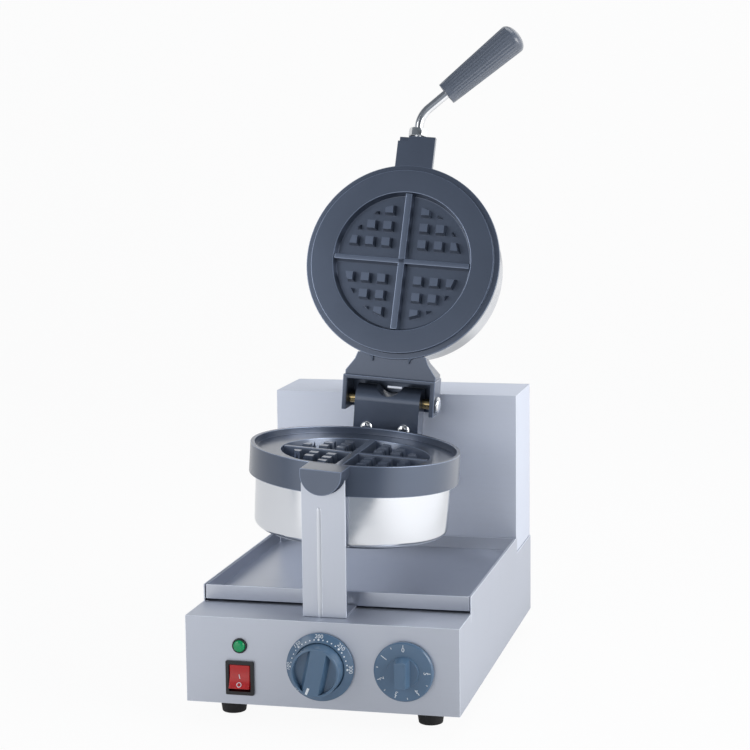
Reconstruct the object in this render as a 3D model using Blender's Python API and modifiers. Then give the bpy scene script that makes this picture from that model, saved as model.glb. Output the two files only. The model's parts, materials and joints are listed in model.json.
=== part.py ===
"""Countertop rotary waffle baker with one round head, its lid open, on a folded sheet steel base.

Lengths are in metres. The base frame has x to the right, y from the front panel's face towards the
back and z up from the bottom edge of the base. The head frame turns about the rotary shaft, and the
lid frame about the hinge bolt.
"""
import math

import bmesh
import bpy
from mathutils import Matrix, Vector

OBJECT_NAME = "waffle_baker"

# Clearances, overruns and facets
GAP = 0.0003
OVERRUN = 0.003
SINK = 0.001
FLUSH_STEP = 0.00015
MERGE = 0.00001
FACETS_LARGE = 56
FACETS_MEDIUM = 24
FACETS_SMALL = 12
DOME_STEPS = 3
SHARP_ANGLE = math.radians(35)

# Base housing
SHEET = 0.0012
BASE_WIDTH = 0.250
BASE_DEPTH = 0.386
DECK_HEIGHT = 0.079
SIDE_HEIGHT = 0.0947
SIDE_START = 0.0534
RELIEF_WIDTH = 0.001
RELIEF_DEPTH = 0.007
PAN_FLANGE = 0.010
WIRING_INSET = 0.020
VENT_COUNT = 9
VENT_WIDTH = 0.003
VENT_LENGTH = 0.045
VENT_PITCH = 0.009

# Feet
FOOT_RADIUS = 0.012
FOOT_TAPER = 0.0012
FOOT_HEIGHT = 0.017
FOOT_INSET_X = 0.0334
FOOT_INSET_Y = 0.0348
FOOT_POCKET_RADIUS = 0.006
FOOT_POCKET_DEPTH = 0.009

# Back box
BOX_FRONT = 0.3002
BOX_SIDE_INSET = 0.001
BOX_CROWN = 0.0255
BOX_LIP = 0.014
PANEL_SCREW_INSET = 0.007

# Small screws
SCREW_RADIUS = 0.002
SCREW_HEAD_RADIUS = 0.0036
SCREW_HEAD_HEIGHT = 0.0024
SCREW_REACH = 0.008

# Drip tray
TRAY_SHEET = 0.001
TRAY_SIDE_GAP = 0.0006
TRAY_END_GAP = 0.0011
TRAY_TOP = 0.0943
TRAY_STAND = 0.0016
TRAY_STAND_RADIUS = 0.006
TRAY_STAND_INSET = 0.030

# Front support
POST_WIDTH = 0.040
POST_FRONT = 0.0155
POST_SHEET = 0.0025
POST_FOOT_END = 0.052
CRADLE_RADIUS = 0.0215
GUSSET_DEPTH = 0.012
GUSSET_DROP = 0.0368
BOLT_RADIUS = 0.0025
BOLT_HEAD_RADIUS = 0.0045
BOLT_HEAD_HEIGHT = 0.003
BOLT_SPACING = 0.016
BOLT_PLACE = 0.040
NUT_ACROSS = 0.008
NUT_HEIGHT = 0.004

# Switch and lamp
CONTROL_SHARE = 0.596
SWITCH_HEIGHT = 0.0243
SWITCH_WIDTH = 0.026
SWITCH_TALL = 0.031
SWITCH_FLANGE = 0.0022
SWITCH_BODY_WIDTH = 0.0215
SWITCH_BODY_TALL = 0.0268
SWITCH_BODY_DEPTH = 0.026
ROCKER_WIDTH = 0.0188
ROCKER_TALL = 0.0212
ROCKER_GAP = 0.0006
ROCKER_SWING_ROOM = 0.0016
ROCKER_PIVOT_DEPTH = 0.0035
ROCKER_REACH = 0.0042
ROCKER_DISH = 0.0018
ROCKER_BACK = 0.0045
ROCKER_PIVOT_RADIUS = 0.0012
ROCKER_PIVOT_REACH = 0.0014
ROCKER_TILT = math.radians(12)
LAMP_HEIGHT = 0.0536
LAMP_RADIUS = 0.007
LAMP_LENS_RADIUS = 0.0053
LAMP_BODY_RADIUS = 0.00595
LAMP_BODY_DEPTH = 0.022
LAMP_FLANGE = 0.0018
LAMP_CROWN = 0.0022
LAMP_EDGE = 0.0005

# Thermostat and timer
THERMOSTAT_HEIGHT = 0.0388
THERMOSTAT_TURN = math.radians(158)
DIAL_RADIUS = 0.0308
DIAL_THICKNESS = 0.0034
DIAL_EDGE = 0.0014
KNOB_BASE_RADIUS = 0.0238
KNOB_FACE_RADIUS = 0.0222
KNOB_REACH = 0.0185
KNOB_RIDGE_WIDTH = 0.0115
KNOB_WALL = 0.0024
KNOB_EDGE = 0.0012
KNOB_RIDGE_REACH = 0.0100
SPINDLE_RADIUS = 0.003
SPINDLE_LENGTH = 0.016
THERMOSTAT_BODY_RADIUS = 0.017
THERMOSTAT_BODY_DEPTH = 0.034
TIMER_SHARE = 0.604
TIMER_HEIGHT = 0.0389
TIMER_RADIUS = 0.02675
TIMER_THICKNESS = 0.0045
TIMER_HUB_RADIUS = 0.0145
TIMER_HUB_TOP_RADIUS = 0.0120
TIMER_BAR_WIDTH = 0.0110
TIMER_REACH = 0.0180
TIMER_BODY_SIZE = 0.044
TIMER_BODY_DEPTH = 0.036
PANEL_HOLE_RADIUS = 0.005

# Rear fittings
GLAND_INSET = 0.045
GLAND_HEIGHT = 0.034
GLAND_RADIUS = 0.0065
GLAND_NUT_ACROSS = 0.020
GLAND_BORE = 0.0042
GLAND_REACH = 0.0165
GLAND_INSIDE = 0.010
GLAND_CAP_RADIUS = 0.009
GLAND_CAP_EDGE = 0.0012
EARTH_STEP = 0.035
TERMINAL_LENGTH = 0.036
TERMINAL_DEPTH = 0.020
TERMINAL_TALL = 0.016
TERMINAL_WAYS = 3
TERMINAL_HOLE_RADIUS = 0.0022

# Head: rotary axis, plates and journal
AXIS_HEIGHT = 0.2133
HEAD_ROLL = math.radians(4.07)
PLATE_CENTRE = 0.13625
PLATE_RADIUS = 0.0985
RIM_WALL = 0.004
RIM_DEPTH = 0.0065
RIM_CHAMFER = 0.0008
RIM_SKIRT = 0.0285
SKIRT_WALL = 0.0085
RECESS_RADIUS = 0.0697
RECESS_DEPTH = 0.011
RECESS_DRAFT = 0.0035
PLATE_FLOOR = 0.005
UPPER_RADIUS = 0.0982
UPPER_DISC_RADIUS = 0.0925
UPPER_DISC_STEP = 0.0046
UPPER_FLANGE = 0.0045
BAR_WIDE = 0.0065
BAR_NARROW = 0.0050
PEG_SIZE = 0.0094
PEG_DRAFT = 0.0013
PEG_FIRST = 0.0184
PEG_PITCH = 0.0167
PEG_ROWS = 3
PEG_CIRCLE = 0.0585
JOURNAL_RADIUS = 0.019
JOURNAL_DROP = 0.004
JOURNAL_FRONT = 0.0080
NOTCH_WIDTH = 0.0108
NOTCH_LENGTH = 0.0056
NOTCH_DEPTH = 0.0070
BOSS_RADIUS = 0.007
BOSS_HOLE_DEPTH = 0.016

# Pots and heaters
POT_RADIUS = 0.092
POT_TAPER = 0.001
POT_DEPTH = 0.078
POT_SHEET = 0.0008
POT_CORNER = 0.012
POT_CORNER_STEPS = 4
POT_BOLT_RADIUS = 0.003
POT_BOLT_HEAD_ACROSS = 0.012
POT_BOLT_HEAD_HEIGHT = 0.0045
HEATER_RADIUS = 0.058
HEATER_TUBE = 0.0038

# Hinge
HINGE_Y = 0.2736
HINGE_HEIGHT = 0.0218
LID_OPEN = math.radians(105.35)
LID_FACE_DROP = 0.00425
BLOCK_HALF_WIDTH = 0.0328
KNUCKLE_RADIUS = 0.0154
BLOCK_REAR = 0.0104
BLOCK_NOTCH_RADIUS = 0.0143
BLOCK_NOTCH_DEPTH = 0.0095
NECK_HALF_WIDTH = 0.025
NECK_TOP = -0.012
NECK_THICKNESS = 0.015
NECK_SCREW_SPACING = 0.016
NECK_SCREW_REACH = 0.012
LUG_SCREW_SPACING = 0.038
LUG_SCREW_DROP = 0.004
LUG_SCREW_RADIUS = 0.003
LUG_HEAD_RADIUS = 0.006
LUG_HEAD_HEIGHT = 0.004
CLEVIS_HALF_WIDTH = 0.0468
CLEVIS_ARM = 0.0045
CLEVIS_FRONT = 0.0130
CLEVIS_REAR = 0.0186
CLEVIS_BACK = 0.0025
CLEVIS_ARCH_ROOM = 0.001
CLEVIS_SLOT_WIDTH = 0.015
CLEVIS_SLOT_TALL = 0.0022
CLEVIS_SLOT_HEIGHT = 0.010
CLEVIS_BOTTOM = 0.0110
CLEVIS_INNER_TOP = 0.0207
CLEVIS_PLATE = 0.004
WEB_FRONT = 0.0083
WEB_REAR_STEP = 0.0026
WEB_REAR_HEIGHT = 0.0290
WEB_ROOT = 0.0930
WEB_ROOT_FRONT = 0.0063
WEB_ROOT_DEPTH = 0.0105
WEB_TOP_HALF_WIDTH = 0.0343
WEB_TOP_HEIGHT = 0.0485
WEB_SHOULDER_HALF_WIDTH = 0.0460
WEB_SHOULDER_HEIGHT = 0.0284
HINGE_PIN_RADIUS = 0.004
HINGE_HEAD_RADIUS = 0.00825
HINGE_HEAD_HEIGHT = 0.0045
BUSH_RADIUS = 0.0048

# Rotary shaft and its bearing
SHAFT_FLANGE_RADIUS = 0.027
SHAFT_FLANGE = 0.0057
SHAFT_RADIUS = 0.011
SHAFT_BORE = 0.006
SHOULDER_RADIUS = 0.016
BEARING_FLANGE_RADIUS = 0.030
BEARING_FLANGE = 0.004
BEARING_TUBE_RADIUS = 0.019
BEARING_SHARE = 0.427
BEARING_SCREW_CIRCLE = 0.0245
BEARING_SCREWS = 3
COLLAR_RADIUS = 0.017
COLLAR_SHARE = 0.1068
SHAFT_OVERHANG = 0.003

# Handle
ROD_RADIUS = 0.0045
ROD_DEPTH = 0.0095
ROD_STRAIGHT = 0.0116
ROD_BEND = 0.026
ROD_BEND_ANGLE = math.radians(45)
ROD_BEND_STEPS = 8
ROD_AFTER_BEND = 0.0227
ROD_SHANK_RADIUS = 0.003
ROD_SHANK = 0.012
ROD_IN_GRIP = 0.045
ROD_NUT_ACROSS = 0.017
ROD_NUT_HEIGHT = 0.008
GRIP_LENGTH = 0.0935
GRIP_NARROW_RADIUS = 0.01175
GRIP_WIDE_RADIUS = 0.0155
GRIP_DOME = 0.0085
GRIP_MOUTH_RADIUS = 0.0080
GRIP_MOUTH_DEPTH = 0.008
GRIP_MOUTH_CHAMFER = 0.001

# Places that follow from the sizes above
HALF_WIDTH = BASE_WIDTH / 2
HALF_BOX = HALF_WIDTH - BOX_SIDE_INSET
BOX_TOP = AXIS_HEIGHT + BOX_CROWN
GUSSET_TOP = AXIS_HEIGHT - GUSSET_DROP
CONTROL_X = -CONTROL_SHARE * HALF_WIDTH
TIMER_X = TIMER_SHARE * HALF_WIDTH
GLAND_X = GLAND_INSET - HALF_WIDTH
EARTH_X = GLAND_X + EARTH_STEP
KNOB_FRONT = DIAL_THICKNESS + 2 * GAP + KNOB_REACH
FRONT_Y = (KNOB_FRONT - BASE_DEPTH - GLAND_REACH) / 2
BOX_REAR = BASE_DEPTH - SHEET - GAP
BOX_DEPTH = BOX_REAR - BOX_FRONT
BEARING_LENGTH = BEARING_SHARE * BOX_DEPTH
COLLAR_LENGTH = COLLAR_SHARE * BOX_DEPTH
PLATE_UNDERSIDE = RIM_DEPTH + RECESS_DEPTH + PLATE_FLOOR
UPPER_BACK = RECESS_DEPTH + PLATE_FLOOR
BLOCK_BOTTOM = NECK_TOP + GAP
FLANGE_FRONT = HINGE_Y + BLOCK_REAR + GAP
SHOULDER_END = BOX_FRONT - 2 * GAP - BEARING_FLANGE
HINGE_BORE = HINGE_PIN_RADIUS + GAP
CRADLE_CENTRE = CRADLE_RADIUS - JOURNAL_RADIUS - JOURNAL_DROP - GAP


# Scene and materials

def clear_scene():
    """Remove every object of the open file."""
    for item in list(bpy.data.objects):
        bpy.data.objects.remove(item, do_unlink=True)


def collection(name):
    """A new collection under the scene."""
    made = bpy.data.collections.new(name)
    bpy.context.scene.collection.children.link(made)
    return made


def material(name, colour, roughness, metallic):
    """A Principled material of one colour."""
    made = bpy.data.materials.new(name)
    made.use_nodes = True
    shader = made.node_tree.nodes["Principled BSDF"]
    shader.inputs["Base Color"].default_value = (*colour, 1.0)
    shader.inputs["Roughness"].default_value = roughness
    shader.inputs["Metallic"].default_value = metallic
    made.diffuse_color = (*colour, 1.0)
    return made


class Shop:
    """The collections and finishes that every piece uses."""

    def __init__(self):
        self.parts = collection(OBJECT_NAME)
        self.cutters = collection("cutters")
        self.steel = lambda name: material(name, (0.62, 0.64, 0.68), 0.32, 1.0)
        self.bright = lambda name: material(name, (0.78, 0.79, 0.81), 0.18, 1.0)
        self.coated = lambda name: material(name, (0.055, 0.065, 0.085), 0.38, 0.0)
        self.knob = lambda name: material(name, (0.13, 0.18, 0.25), 0.40, 0.0)
        self.black = lambda name: material(name, (0.02, 0.02, 0.022), 0.45, 0.0)
        self.rubber = lambda name: material(name, (0.015, 0.015, 0.016), 0.80, 0.0)
        self.brass = lambda name: material(name, (0.62, 0.48, 0.22), 0.30, 1.0)
        self.red = lambda name: material(name, (0.62, 0.03, 0.03), 0.30, 0.0)
        self.green = lambda name: material(name, (0.0, 0.42, 0.18), 0.15, 0.0)
        self.white = lambda name: material(name, (0.75, 0.75, 0.72), 0.50, 0.0)


def empty(name, parent, at):
    """A frame that pieces hang from, placed in its parent's frame."""
    made = bpy.data.objects.new(name, None)
    bpy.context.scene.collection.objects.link(made)
    made.parent = parent
    made.matrix_basis = at
    return made


# Meshes and solids

def along(axis, start=(0, 0, 0)):
    """A place at start whose local z points along the named axis."""
    target = {"X": Vector((1, 0, 0)), "Y": Vector((0, 1, 0)), "Z": Vector((0, 0, 1))}[axis]
    turn = Vector((0, 0, 1)).rotation_difference(target).to_matrix().to_4x4()
    return Matrix.Translation(start) @ turn


def add_object(name, data, parent, at=Matrix()):
    """Put an object in its parent's frame; it starts as a tool, until finish makes it a part."""
    made = bpy.data.objects.new(name, data)
    shop.cutters.objects.link(made)
    made.parent = parent
    made.matrix_basis = at
    made.hide_render = True
    made.display_type = "WIRE"
    return made


def mesh_of(name, solid):
    """A mesh datablock from a bmesh, with its faces pointing outwards."""
    bmesh.ops.recalc_face_normals(solid, faces=solid.faces)
    data = bpy.data.meshes.new(name)
    solid.to_mesh(data)
    solid.free()
    return data


def box(name, low, high, parent, at=Matrix()):
    """A block between two corners of its parent's frame."""
    solid = bmesh.new()
    bmesh.ops.create_cube(solid, size=1.0)
    size = [top - bottom for bottom, top in zip(low, high)]
    middle = [(top + bottom) / 2 for bottom, top in zip(low, high)]
    bmesh.ops.transform(solid, matrix=Matrix.Diagonal((*size, 1)), verts=solid.verts)
    bmesh.ops.translate(solid, vec=middle, verts=solid.verts)
    return add_object(name, mesh_of(name, solid), parent, at)


def frustum(solid, middle, half_x, half_y, low, high, draft):
    """Add to a bmesh a block whose sides lean in by the draft from low to high."""
    made = bmesh.ops.create_cube(solid, size=2.0)["verts"]
    for vert in made:
        spread = 0 if vert.co.z > 0 else draft
        vert.co.x = middle[0] + vert.co.x * (half_x + spread)
        vert.co.y = middle[1] + vert.co.y * (half_y + spread)
        vert.co.z = high if vert.co.z > 0 else low


def drum(name, radius, start, length, parent, axis="Z", far_radius=None, facets=FACETS_SMALL):
    """A cylinder or cone from a start point along an axis of its parent's frame."""
    solid = bmesh.new()
    far_radius = radius if far_radius is None else far_radius
    bmesh.ops.create_cone(solid, cap_ends=True, segments=facets, radius1=radius,
                          radius2=far_radius, depth=length)
    bmesh.ops.translate(solid, vec=(0, 0, length / 2), verts=solid.verts)
    return add_object(name, mesh_of(name, solid), parent, along(axis, start))


def hole(name, radius, start, length, parent, axis="Z", facets=FACETS_SMALL):
    """A cylinder to cut with, whose flats lie at the named radius, so that a round piece clears it."""
    return drum(name, radius / math.cos(math.pi / facets), start, length, parent, axis, facets=facets)


def hexagon(name, across, start, length, parent, axis="Z"):
    """A hexagonal bar, given its width across the flats."""
    return drum(name, across / math.sqrt(3), start, length, parent, axis, facets=6)


def placed(piece, place):
    """Move a tool that was made in one frame into a place of its parent's."""
    piece.matrix_basis = place @ piece.matrix_basis
    return piece


def turned(name, profile, parent, at=Matrix(), facets=FACETS_MEDIUM, closed=False):
    """A lathe shape about local z; the profile runs down its outer side, as (radius, height)."""
    solid = bmesh.new()
    verts = [solid.verts.new((radius, 0, height)) for radius, height in profile]
    for first, second in zip(verts, verts[1:]):
        solid.edges.new((first, second))
    if closed:
        solid.edges.new((verts[-1], verts[0]))
    data = bpy.data.meshes.new(name)
    solid.to_mesh(data)
    solid.free()
    piece = add_object(name, data, parent, at)
    screw = piece.modifiers.new("turn", "SCREW")
    screw.axis = "Z"
    screw.angle = math.tau
    screw.steps = facets
    screw.render_steps = facets
    screw.use_merge_vertices = True
    screw.merge_threshold = MERGE
    screw.use_normal_calculate = False
    return piece


def outline(name, points, thickness, parent, at=Matrix()):
    """A flat outline in local xy, filled and given a thickness centred on its plane, as a mesh."""
    curve = bpy.data.curves.new(name, "CURVE")
    curve.dimensions = "2D"
    curve.fill_mode = "BOTH"
    curve.extrude = thickness / 2
    spline = curve.splines.new("POLY")
    spline.points.add(len(points) - 1)
    for place, (across, up) in zip(spline.points, points):
        place.co = (across, up, 0, 1)
    spline.use_cyclic_u = True
    return meshed(name, curve, parent, at)


def wire(name, points, radius, parent, at=Matrix(), resolution=4):
    """A round rod along a chain of points, with closed ends, as a mesh."""
    curve = bpy.data.curves.new(name, "CURVE")
    curve.dimensions = "3D"
    curve.bevel_depth = radius
    curve.bevel_resolution = resolution
    curve.use_fill_caps = True
    spline = curve.splines.new("POLY")
    spline.points.add(len(points) - 1)
    for place, point in zip(spline.points, points):
        place.co = (*point, 1)
    return meshed(name, curve, parent, at)


def meshed(name, curve, parent, at):
    """Turn a curve into a mesh object with welded caps."""
    guide = add_object(name + "_curve", curve, parent, at)
    bpy.context.view_layer.update()
    graph = bpy.context.evaluated_depsgraph_get()
    data = bpy.data.meshes.new_from_object(guide.evaluated_get(graph))
    solid = bmesh.new()
    solid.from_mesh(data)
    bmesh.ops.remove_doubles(solid, verts=solid.verts, dist=MERGE)
    bmesh.ops.recalc_face_normals(solid, faces=solid.faces)
    solid.to_mesh(data)
    solid.free()
    data.name = name
    place = guide.matrix_world.copy()
    bpy.data.objects.remove(guide, do_unlink=True)
    made = add_object(name, data, parent, at)
    made.matrix_world = place
    return made


def combine(target, tools, operation):
    """Give the target one exact Boolean for each tool."""
    for tool in tools:
        step = target.modifiers.new(operation.lower(), "BOOLEAN")
        step.operation = operation
        step.solver = "EXACT"
        step.object = tool


def cut(target, *tools):
    """Take the tools out of the target."""
    combine(target, tools, "DIFFERENCE")


def fuse(target, *tools):
    """Join the tools to the target."""
    combine(target, tools, "UNION")


def keep(target, *tools):
    """Keep only what the target shares with the tools."""
    combine(target, tools, "INTERSECT")


def finish(piece, finish_of, smooth=True):
    """Make a piece a part, with its own material."""
    shop.cutters.objects.unlink(piece)
    shop.parts.objects.link(piece)
    piece.hide_render = False
    piece.display_type = "TEXTURED"
    piece.data.materials.clear()
    piece.data.materials.append(finish_of(piece.name + "_finish"))
    if smooth:
        piece.data.shade_smooth()
        piece.data.set_sharp_from_angle(angle=SHARP_ANGLE)
    return piece


def arc(centre, radius, start, end, steps):
    """Points on an arc, from a start to an end angle in radians."""
    turns = [start + (end - start) * step / steps for step in range(steps + 1)]
    return [(centre[0] + radius * math.cos(turn), centre[1] + radius * math.sin(turn)) for turn in turns]


def dome(radius, low, crown, steps=DOME_STEPS):
    """Profile points of a rounded end, from its pole down to its rim."""
    turns = [math.pi / 2 * step / steps for step in range(steps + 1)]
    return [(radius * math.sin(turn), low + crown * math.cos(turn)) for turn in turns]


def facing(axis_y=0.0):
    """A place whose local xy is the frame's xz plane, at one y, seen from the front."""
    return Matrix.Translation((0, axis_y, 0)) @ Matrix.Rotation(math.radians(90), 4, "X")


def upright(across, height):
    """A place on the front panel's plane whose local z points out of it."""
    return Matrix.Translation((across, 0, height)) @ facing()


def sideways():
    """A place whose local xy is the frame's yz plane."""
    return Matrix(((0, 0, 1, 0), (1, 0, 0, 0), (0, 1, 0, 0), (0, 0, 0, 1)))


# Base and back box

def base_housing(base):
    """The folded steel base: front panel, deck, raised sides and rear wall, open underneath."""
    inner = HALF_WIDTH - SHEET
    shell = box("base_housing", (-HALF_WIDTH, 0, 0), (HALF_WIDTH, BASE_DEPTH, SIDE_HEIGHT), base)
    hollow = box("base_hollow", (-inner, SHEET, -OVERRUN),
                 (inner, BASE_DEPTH - SHEET, DECK_HEIGHT - SHEET), base)
    wide = HALF_WIDTH + OVERRUN
    high = SIDE_HEIGHT + OVERRUN
    ahead = box("above_strip", (-wide, -OVERRUN, DECK_HEIGHT), (wide, SIDE_START, high), base)
    behind = box("under_box", (-wide, BOX_FRONT, DECK_HEIGHT), (wide, BASE_DEPTH + OVERRUN, high), base)
    between = box("between_sides", (-inner, SIDE_START - OVERRUN, DECK_HEIGHT),
                  (inner, BOX_FRONT + OVERRUN, high), base)
    cut(shell, hollow, ahead, behind, between)
    slot_low = DECK_HEIGHT - RELIEF_DEPTH
    for side in (-1, 1):
        low_x, high_x = sorted((side * (inner - OVERRUN), side * wide))
        slot = box("relief", (low_x, SIDE_START - RELIEF_WIDTH, slot_low), (high_x, SIDE_START, high), base)
        cut(shell, slot)
    wiring = box("wiring_opening", (-HALF_BOX + WIRING_INSET, BOX_FRONT + WIRING_INSET, slot_low),
                 (HALF_BOX - WIRING_INSET, BASE_DEPTH - WIRING_INSET, high), base)
    cut(shell, wiring)
    half_wide = SWITCH_BODY_WIDTH / 2 + GAP
    half_tall = SWITCH_BODY_TALL / 2 + GAP
    switch = box("switch_hole", (CONTROL_X - half_wide, -OVERRUN, SWITCH_HEIGHT - half_tall),
                 (CONTROL_X + half_wide, SHEET + OVERRUN, SWITCH_HEIGHT + half_tall), base)
    through = SHEET + 2 * OVERRUN
    holes = [(CONTROL_X, LAMP_HEIGHT, LAMP_BODY_RADIUS + GAP), (0, THERMOSTAT_HEIGHT, PANEL_HOLE_RADIUS),
             (TIMER_X, TIMER_HEIGHT, PANEL_HOLE_RADIUS)]
    cut(shell, switch)
    for across, height, radius in holes:
        cut(shell, hole("panel_hole", radius, (across, -OVERRUN, height), through, base, "Y"))
    rear = BASE_DEPTH - SHEET - OVERRUN
    cut(shell, hole("gland_hole", GLAND_RADIUS + GAP, (GLAND_X, rear, GLAND_HEIGHT), through, base, "Y"))
    cut(shell, hole("earth_hole", SCREW_RADIUS + GAP, (EARTH_X, rear, GLAND_HEIGHT), through, base, "Y"))
    for across in support_bolt_places():
        cut(shell, hole("deck_hole", BOLT_RADIUS + GAP, (across, BOLT_PLACE, DECK_HEIGHT - SHEET - OVERRUN),
                        through, base))
    finish(shell, shop.steel)


def foot_places():
    """Each foot's name and centre."""
    across = HALF_WIDTH - FOOT_INSET_X
    rear = BASE_DEPTH - FOOT_INSET_Y
    return [("foot_front_left", (-across, FOOT_INSET_Y)), ("foot_front_right", (across, FOOT_INSET_Y)),
            ("foot_rear_left", (-across, rear)), ("foot_rear_right", (across, rear))]


def bottom_plate(base):
    """The pan that closes the base from below, its edges turned up inside the walls."""
    half = HALF_WIDTH - SHEET - GAP
    front = SHEET + GAP
    rear = BASE_DEPTH - front
    pan = box("bottom_plate", (-half, front, 0), (half, rear, PAN_FLANGE), base)
    high = PAN_FLANGE + OVERRUN
    room = box("pan_room", (-half + SHEET, front + SHEET, SHEET), (half - SHEET, rear - SHEET, high), base)
    cut(pan, room)
    notch = SWITCH_BODY_WIDTH / 2 + 2 * GAP
    cut(pan, box("switch_notch", (CONTROL_X - notch, 0, SHEET + SINK),
                 (CONTROL_X + notch, front + SHEET + OVERRUN, high), base))
    through = SHEET + 2 * OVERRUN
    for _, (across, back) in foot_places():
        cut(pan, hole("foot_hole", SCREW_RADIUS + GAP, (across, back, -OVERRUN), through, base))
    first = -(VENT_COUNT - 1) / 2 * VENT_PITCH
    for slot in range(VENT_COUNT):
        middle = BASE_DEPTH / 2 + first + slot * VENT_PITCH
        vent = box("pan_vent", (-VENT_LENGTH / 2, middle - VENT_WIDTH / 2, -OVERRUN),
                   (VENT_LENGTH / 2, middle + VENT_WIDTH / 2, SHEET + OVERRUN), base)
        cut(pan, vent)
    finish(pan, shop.steel, smooth=False)


def feet(base):
    """Four rubber feet, each with a screw in its pocket."""
    for name, (across, back) in foot_places():
        profile = [(SCREW_RADIUS + GAP, -GAP), (FOOT_RADIUS, -GAP), (FOOT_RADIUS, -FOOT_HEIGHT / 2),
                   (FOOT_RADIUS - FOOT_TAPER, -FOOT_HEIGHT), (FOOT_POCKET_RADIUS, -FOOT_HEIGHT),
                   (FOOT_POCKET_RADIUS, -FOOT_HEIGHT + FOOT_POCKET_DEPTH),
                   (SCREW_RADIUS + GAP, -FOOT_HEIGHT + FOOT_POCKET_DEPTH)]
        place = Matrix.Translation((across, back, 0))
        finish(turned(name, profile, base, place, closed=True), shop.rubber)
        seat = -FOOT_HEIGHT + FOOT_POCKET_DEPTH - GAP
        seated = place @ Matrix.Translation((0, 0, seat))
        finish(screw(name.replace("foot", "foot_screw"), base, seated, -seat + SCREW_REACH), shop.bright)


def screw(name, parent, at, reach):
    """A pan head screw whose seat is at the local origin and whose shank runs up local z."""
    head = dome(SCREW_HEAD_RADIUS, 0, -SCREW_HEAD_HEIGHT, DOME_STEPS - 1)
    profile = [(0, reach), (SCREW_RADIUS, reach), (SCREW_RADIUS, 0), *reversed(head)]
    return turned(name, profile, parent, at, facets=FACETS_SMALL // 2)


def panel_screw_places():
    """Where the rear panel's screws go, across and up."""
    across = HALF_BOX - PANEL_SCREW_INSET
    low = DECK_HEIGHT + PANEL_SCREW_INSET + GAP
    high = BOX_TOP - PANEL_SCREW_INSET
    return [(side * across, height) for side in (-1, 1) for height in (low, high)]


def back_box(base):
    """The box behind the head, open to the base below and to its panel behind."""
    low = DECK_HEIGHT + GAP
    inner = HALF_BOX - SHEET
    shell = box("back_box", (-HALF_BOX, BOX_FRONT, low), (HALF_BOX, BOX_REAR, BOX_TOP), base)
    hollow = box("box_hollow", (-inner, BOX_FRONT + SHEET, low + SHEET),
                 (inner, BOX_REAR - SHEET, BOX_TOP - SHEET), base)
    lip = HALF_BOX - BOX_LIP
    below = box("box_floor_opening", (-lip, BOX_FRONT + BOX_LIP, low - OVERRUN),
                (lip, BOX_REAR - BOX_LIP, low + SHEET + OVERRUN), base)
    behind = box("box_rear_opening", (-lip, BOX_REAR - SHEET - OVERRUN, low + BOX_LIP),
                 (lip, BOX_REAR + OVERRUN, BOX_TOP - BOX_LIP), base)
    tube = hole("bearing_hole", BEARING_TUBE_RADIUS + GAP, (0, BOX_FRONT - OVERRUN, AXIS_HEIGHT),
                SHEET + 2 * OVERRUN, base, "Y", facets=FACETS_MEDIUM)
    cut(shell, hollow, below, behind, tube)
    for across, height in bearing_screw_places():
        cut(shell, hole("bearing_screw_hole", SCREW_RADIUS + GAP, (across, BOX_FRONT - OVERRUN, height),
                        SHEET + 2 * OVERRUN, base, "Y", FACETS_SMALL // 2))
    for across, height in panel_screw_places():
        cut(shell, hole("lip_hole", SCREW_RADIUS + GAP, (across, BOX_REAR - SHEET - OVERRUN, height),
                        SHEET + 2 * OVERRUN, base, "Y", facets=FACETS_SMALL // 2))
    finish(shell, shop.steel)


def rear_panel(base):
    """The screwed sheet that closes the back box, with a field of vent slots."""
    low = DECK_HEIGHT + 2 * GAP
    face = BOX_REAR + GAP
    panel = box("rear_panel", (-HALF_BOX, face, low), (HALF_BOX, face + SHEET, BOX_TOP), base)
    for number, (across, height) in enumerate(panel_screw_places(), 1):
        cut(panel, hole("panel_hole", SCREW_RADIUS + GAP, (across, face - OVERRUN, height),
                        SHEET + 2 * OVERRUN, base, "Y", FACETS_SMALL // 2))
        place = Matrix.Translation((0, face + SHEET + GAP, 0)) @ upright(across, height)
        finish(screw(f"rear_panel_screw_{number}", base, place, SCREW_REACH), shop.bright)
    centre = (low + BOX_TOP) / 2
    first = -(VENT_COUNT - 1) / 2 * VENT_PITCH
    for slot in range(VENT_COUNT):
        height = centre + first + slot * VENT_PITCH
        vent = box("panel_vent", (-VENT_LENGTH, face - OVERRUN, height - VENT_WIDTH / 2),
                   (VENT_LENGTH, face + SHEET + OVERRUN, height + VENT_WIDTH / 2), base)
        cut(panel, vent)
    finish(panel, shop.steel, smooth=False)


def drip_tray(base):
    """The shallow pan under the head, standing on four pressed dimples."""
    half = HALF_WIDTH - SHEET - TRAY_SIDE_GAP
    front = SIDE_START + TRAY_END_GAP
    rear = BOX_FRONT - TRAY_END_GAP
    low = DECK_HEIGHT + GAP + TRAY_STAND
    middle = (front + rear) / 2
    pan = box("drip_tray", (-half, front - middle, low), (half, rear - middle, TRAY_TOP), base,
              Matrix.Translation((0, middle, 0)))
    room = box("tray_room", (-half + TRAY_SHEET, front + TRAY_SHEET, low + TRAY_SHEET),
               (half - TRAY_SHEET, rear - TRAY_SHEET, TRAY_TOP + OVERRUN), base)
    cut(pan, room)
    for across in (-half + TRAY_STAND_INSET, half - TRAY_STAND_INSET):
        for back in (front + TRAY_STAND_INSET, rear - TRAY_STAND_INSET):
            fuse(pan, drum("tray_stand", TRAY_STAND_RADIUS, (across, back, low - TRAY_STAND),
                           TRAY_STAND + TRAY_SHEET / 2, base))
    finish(pan, shop.steel, smooth=False)


def support_bolt_places():
    """Where the front support's bolts stand, across the deck."""
    return (-BOLT_SPACING / 2, BOLT_SPACING / 2)


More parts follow.
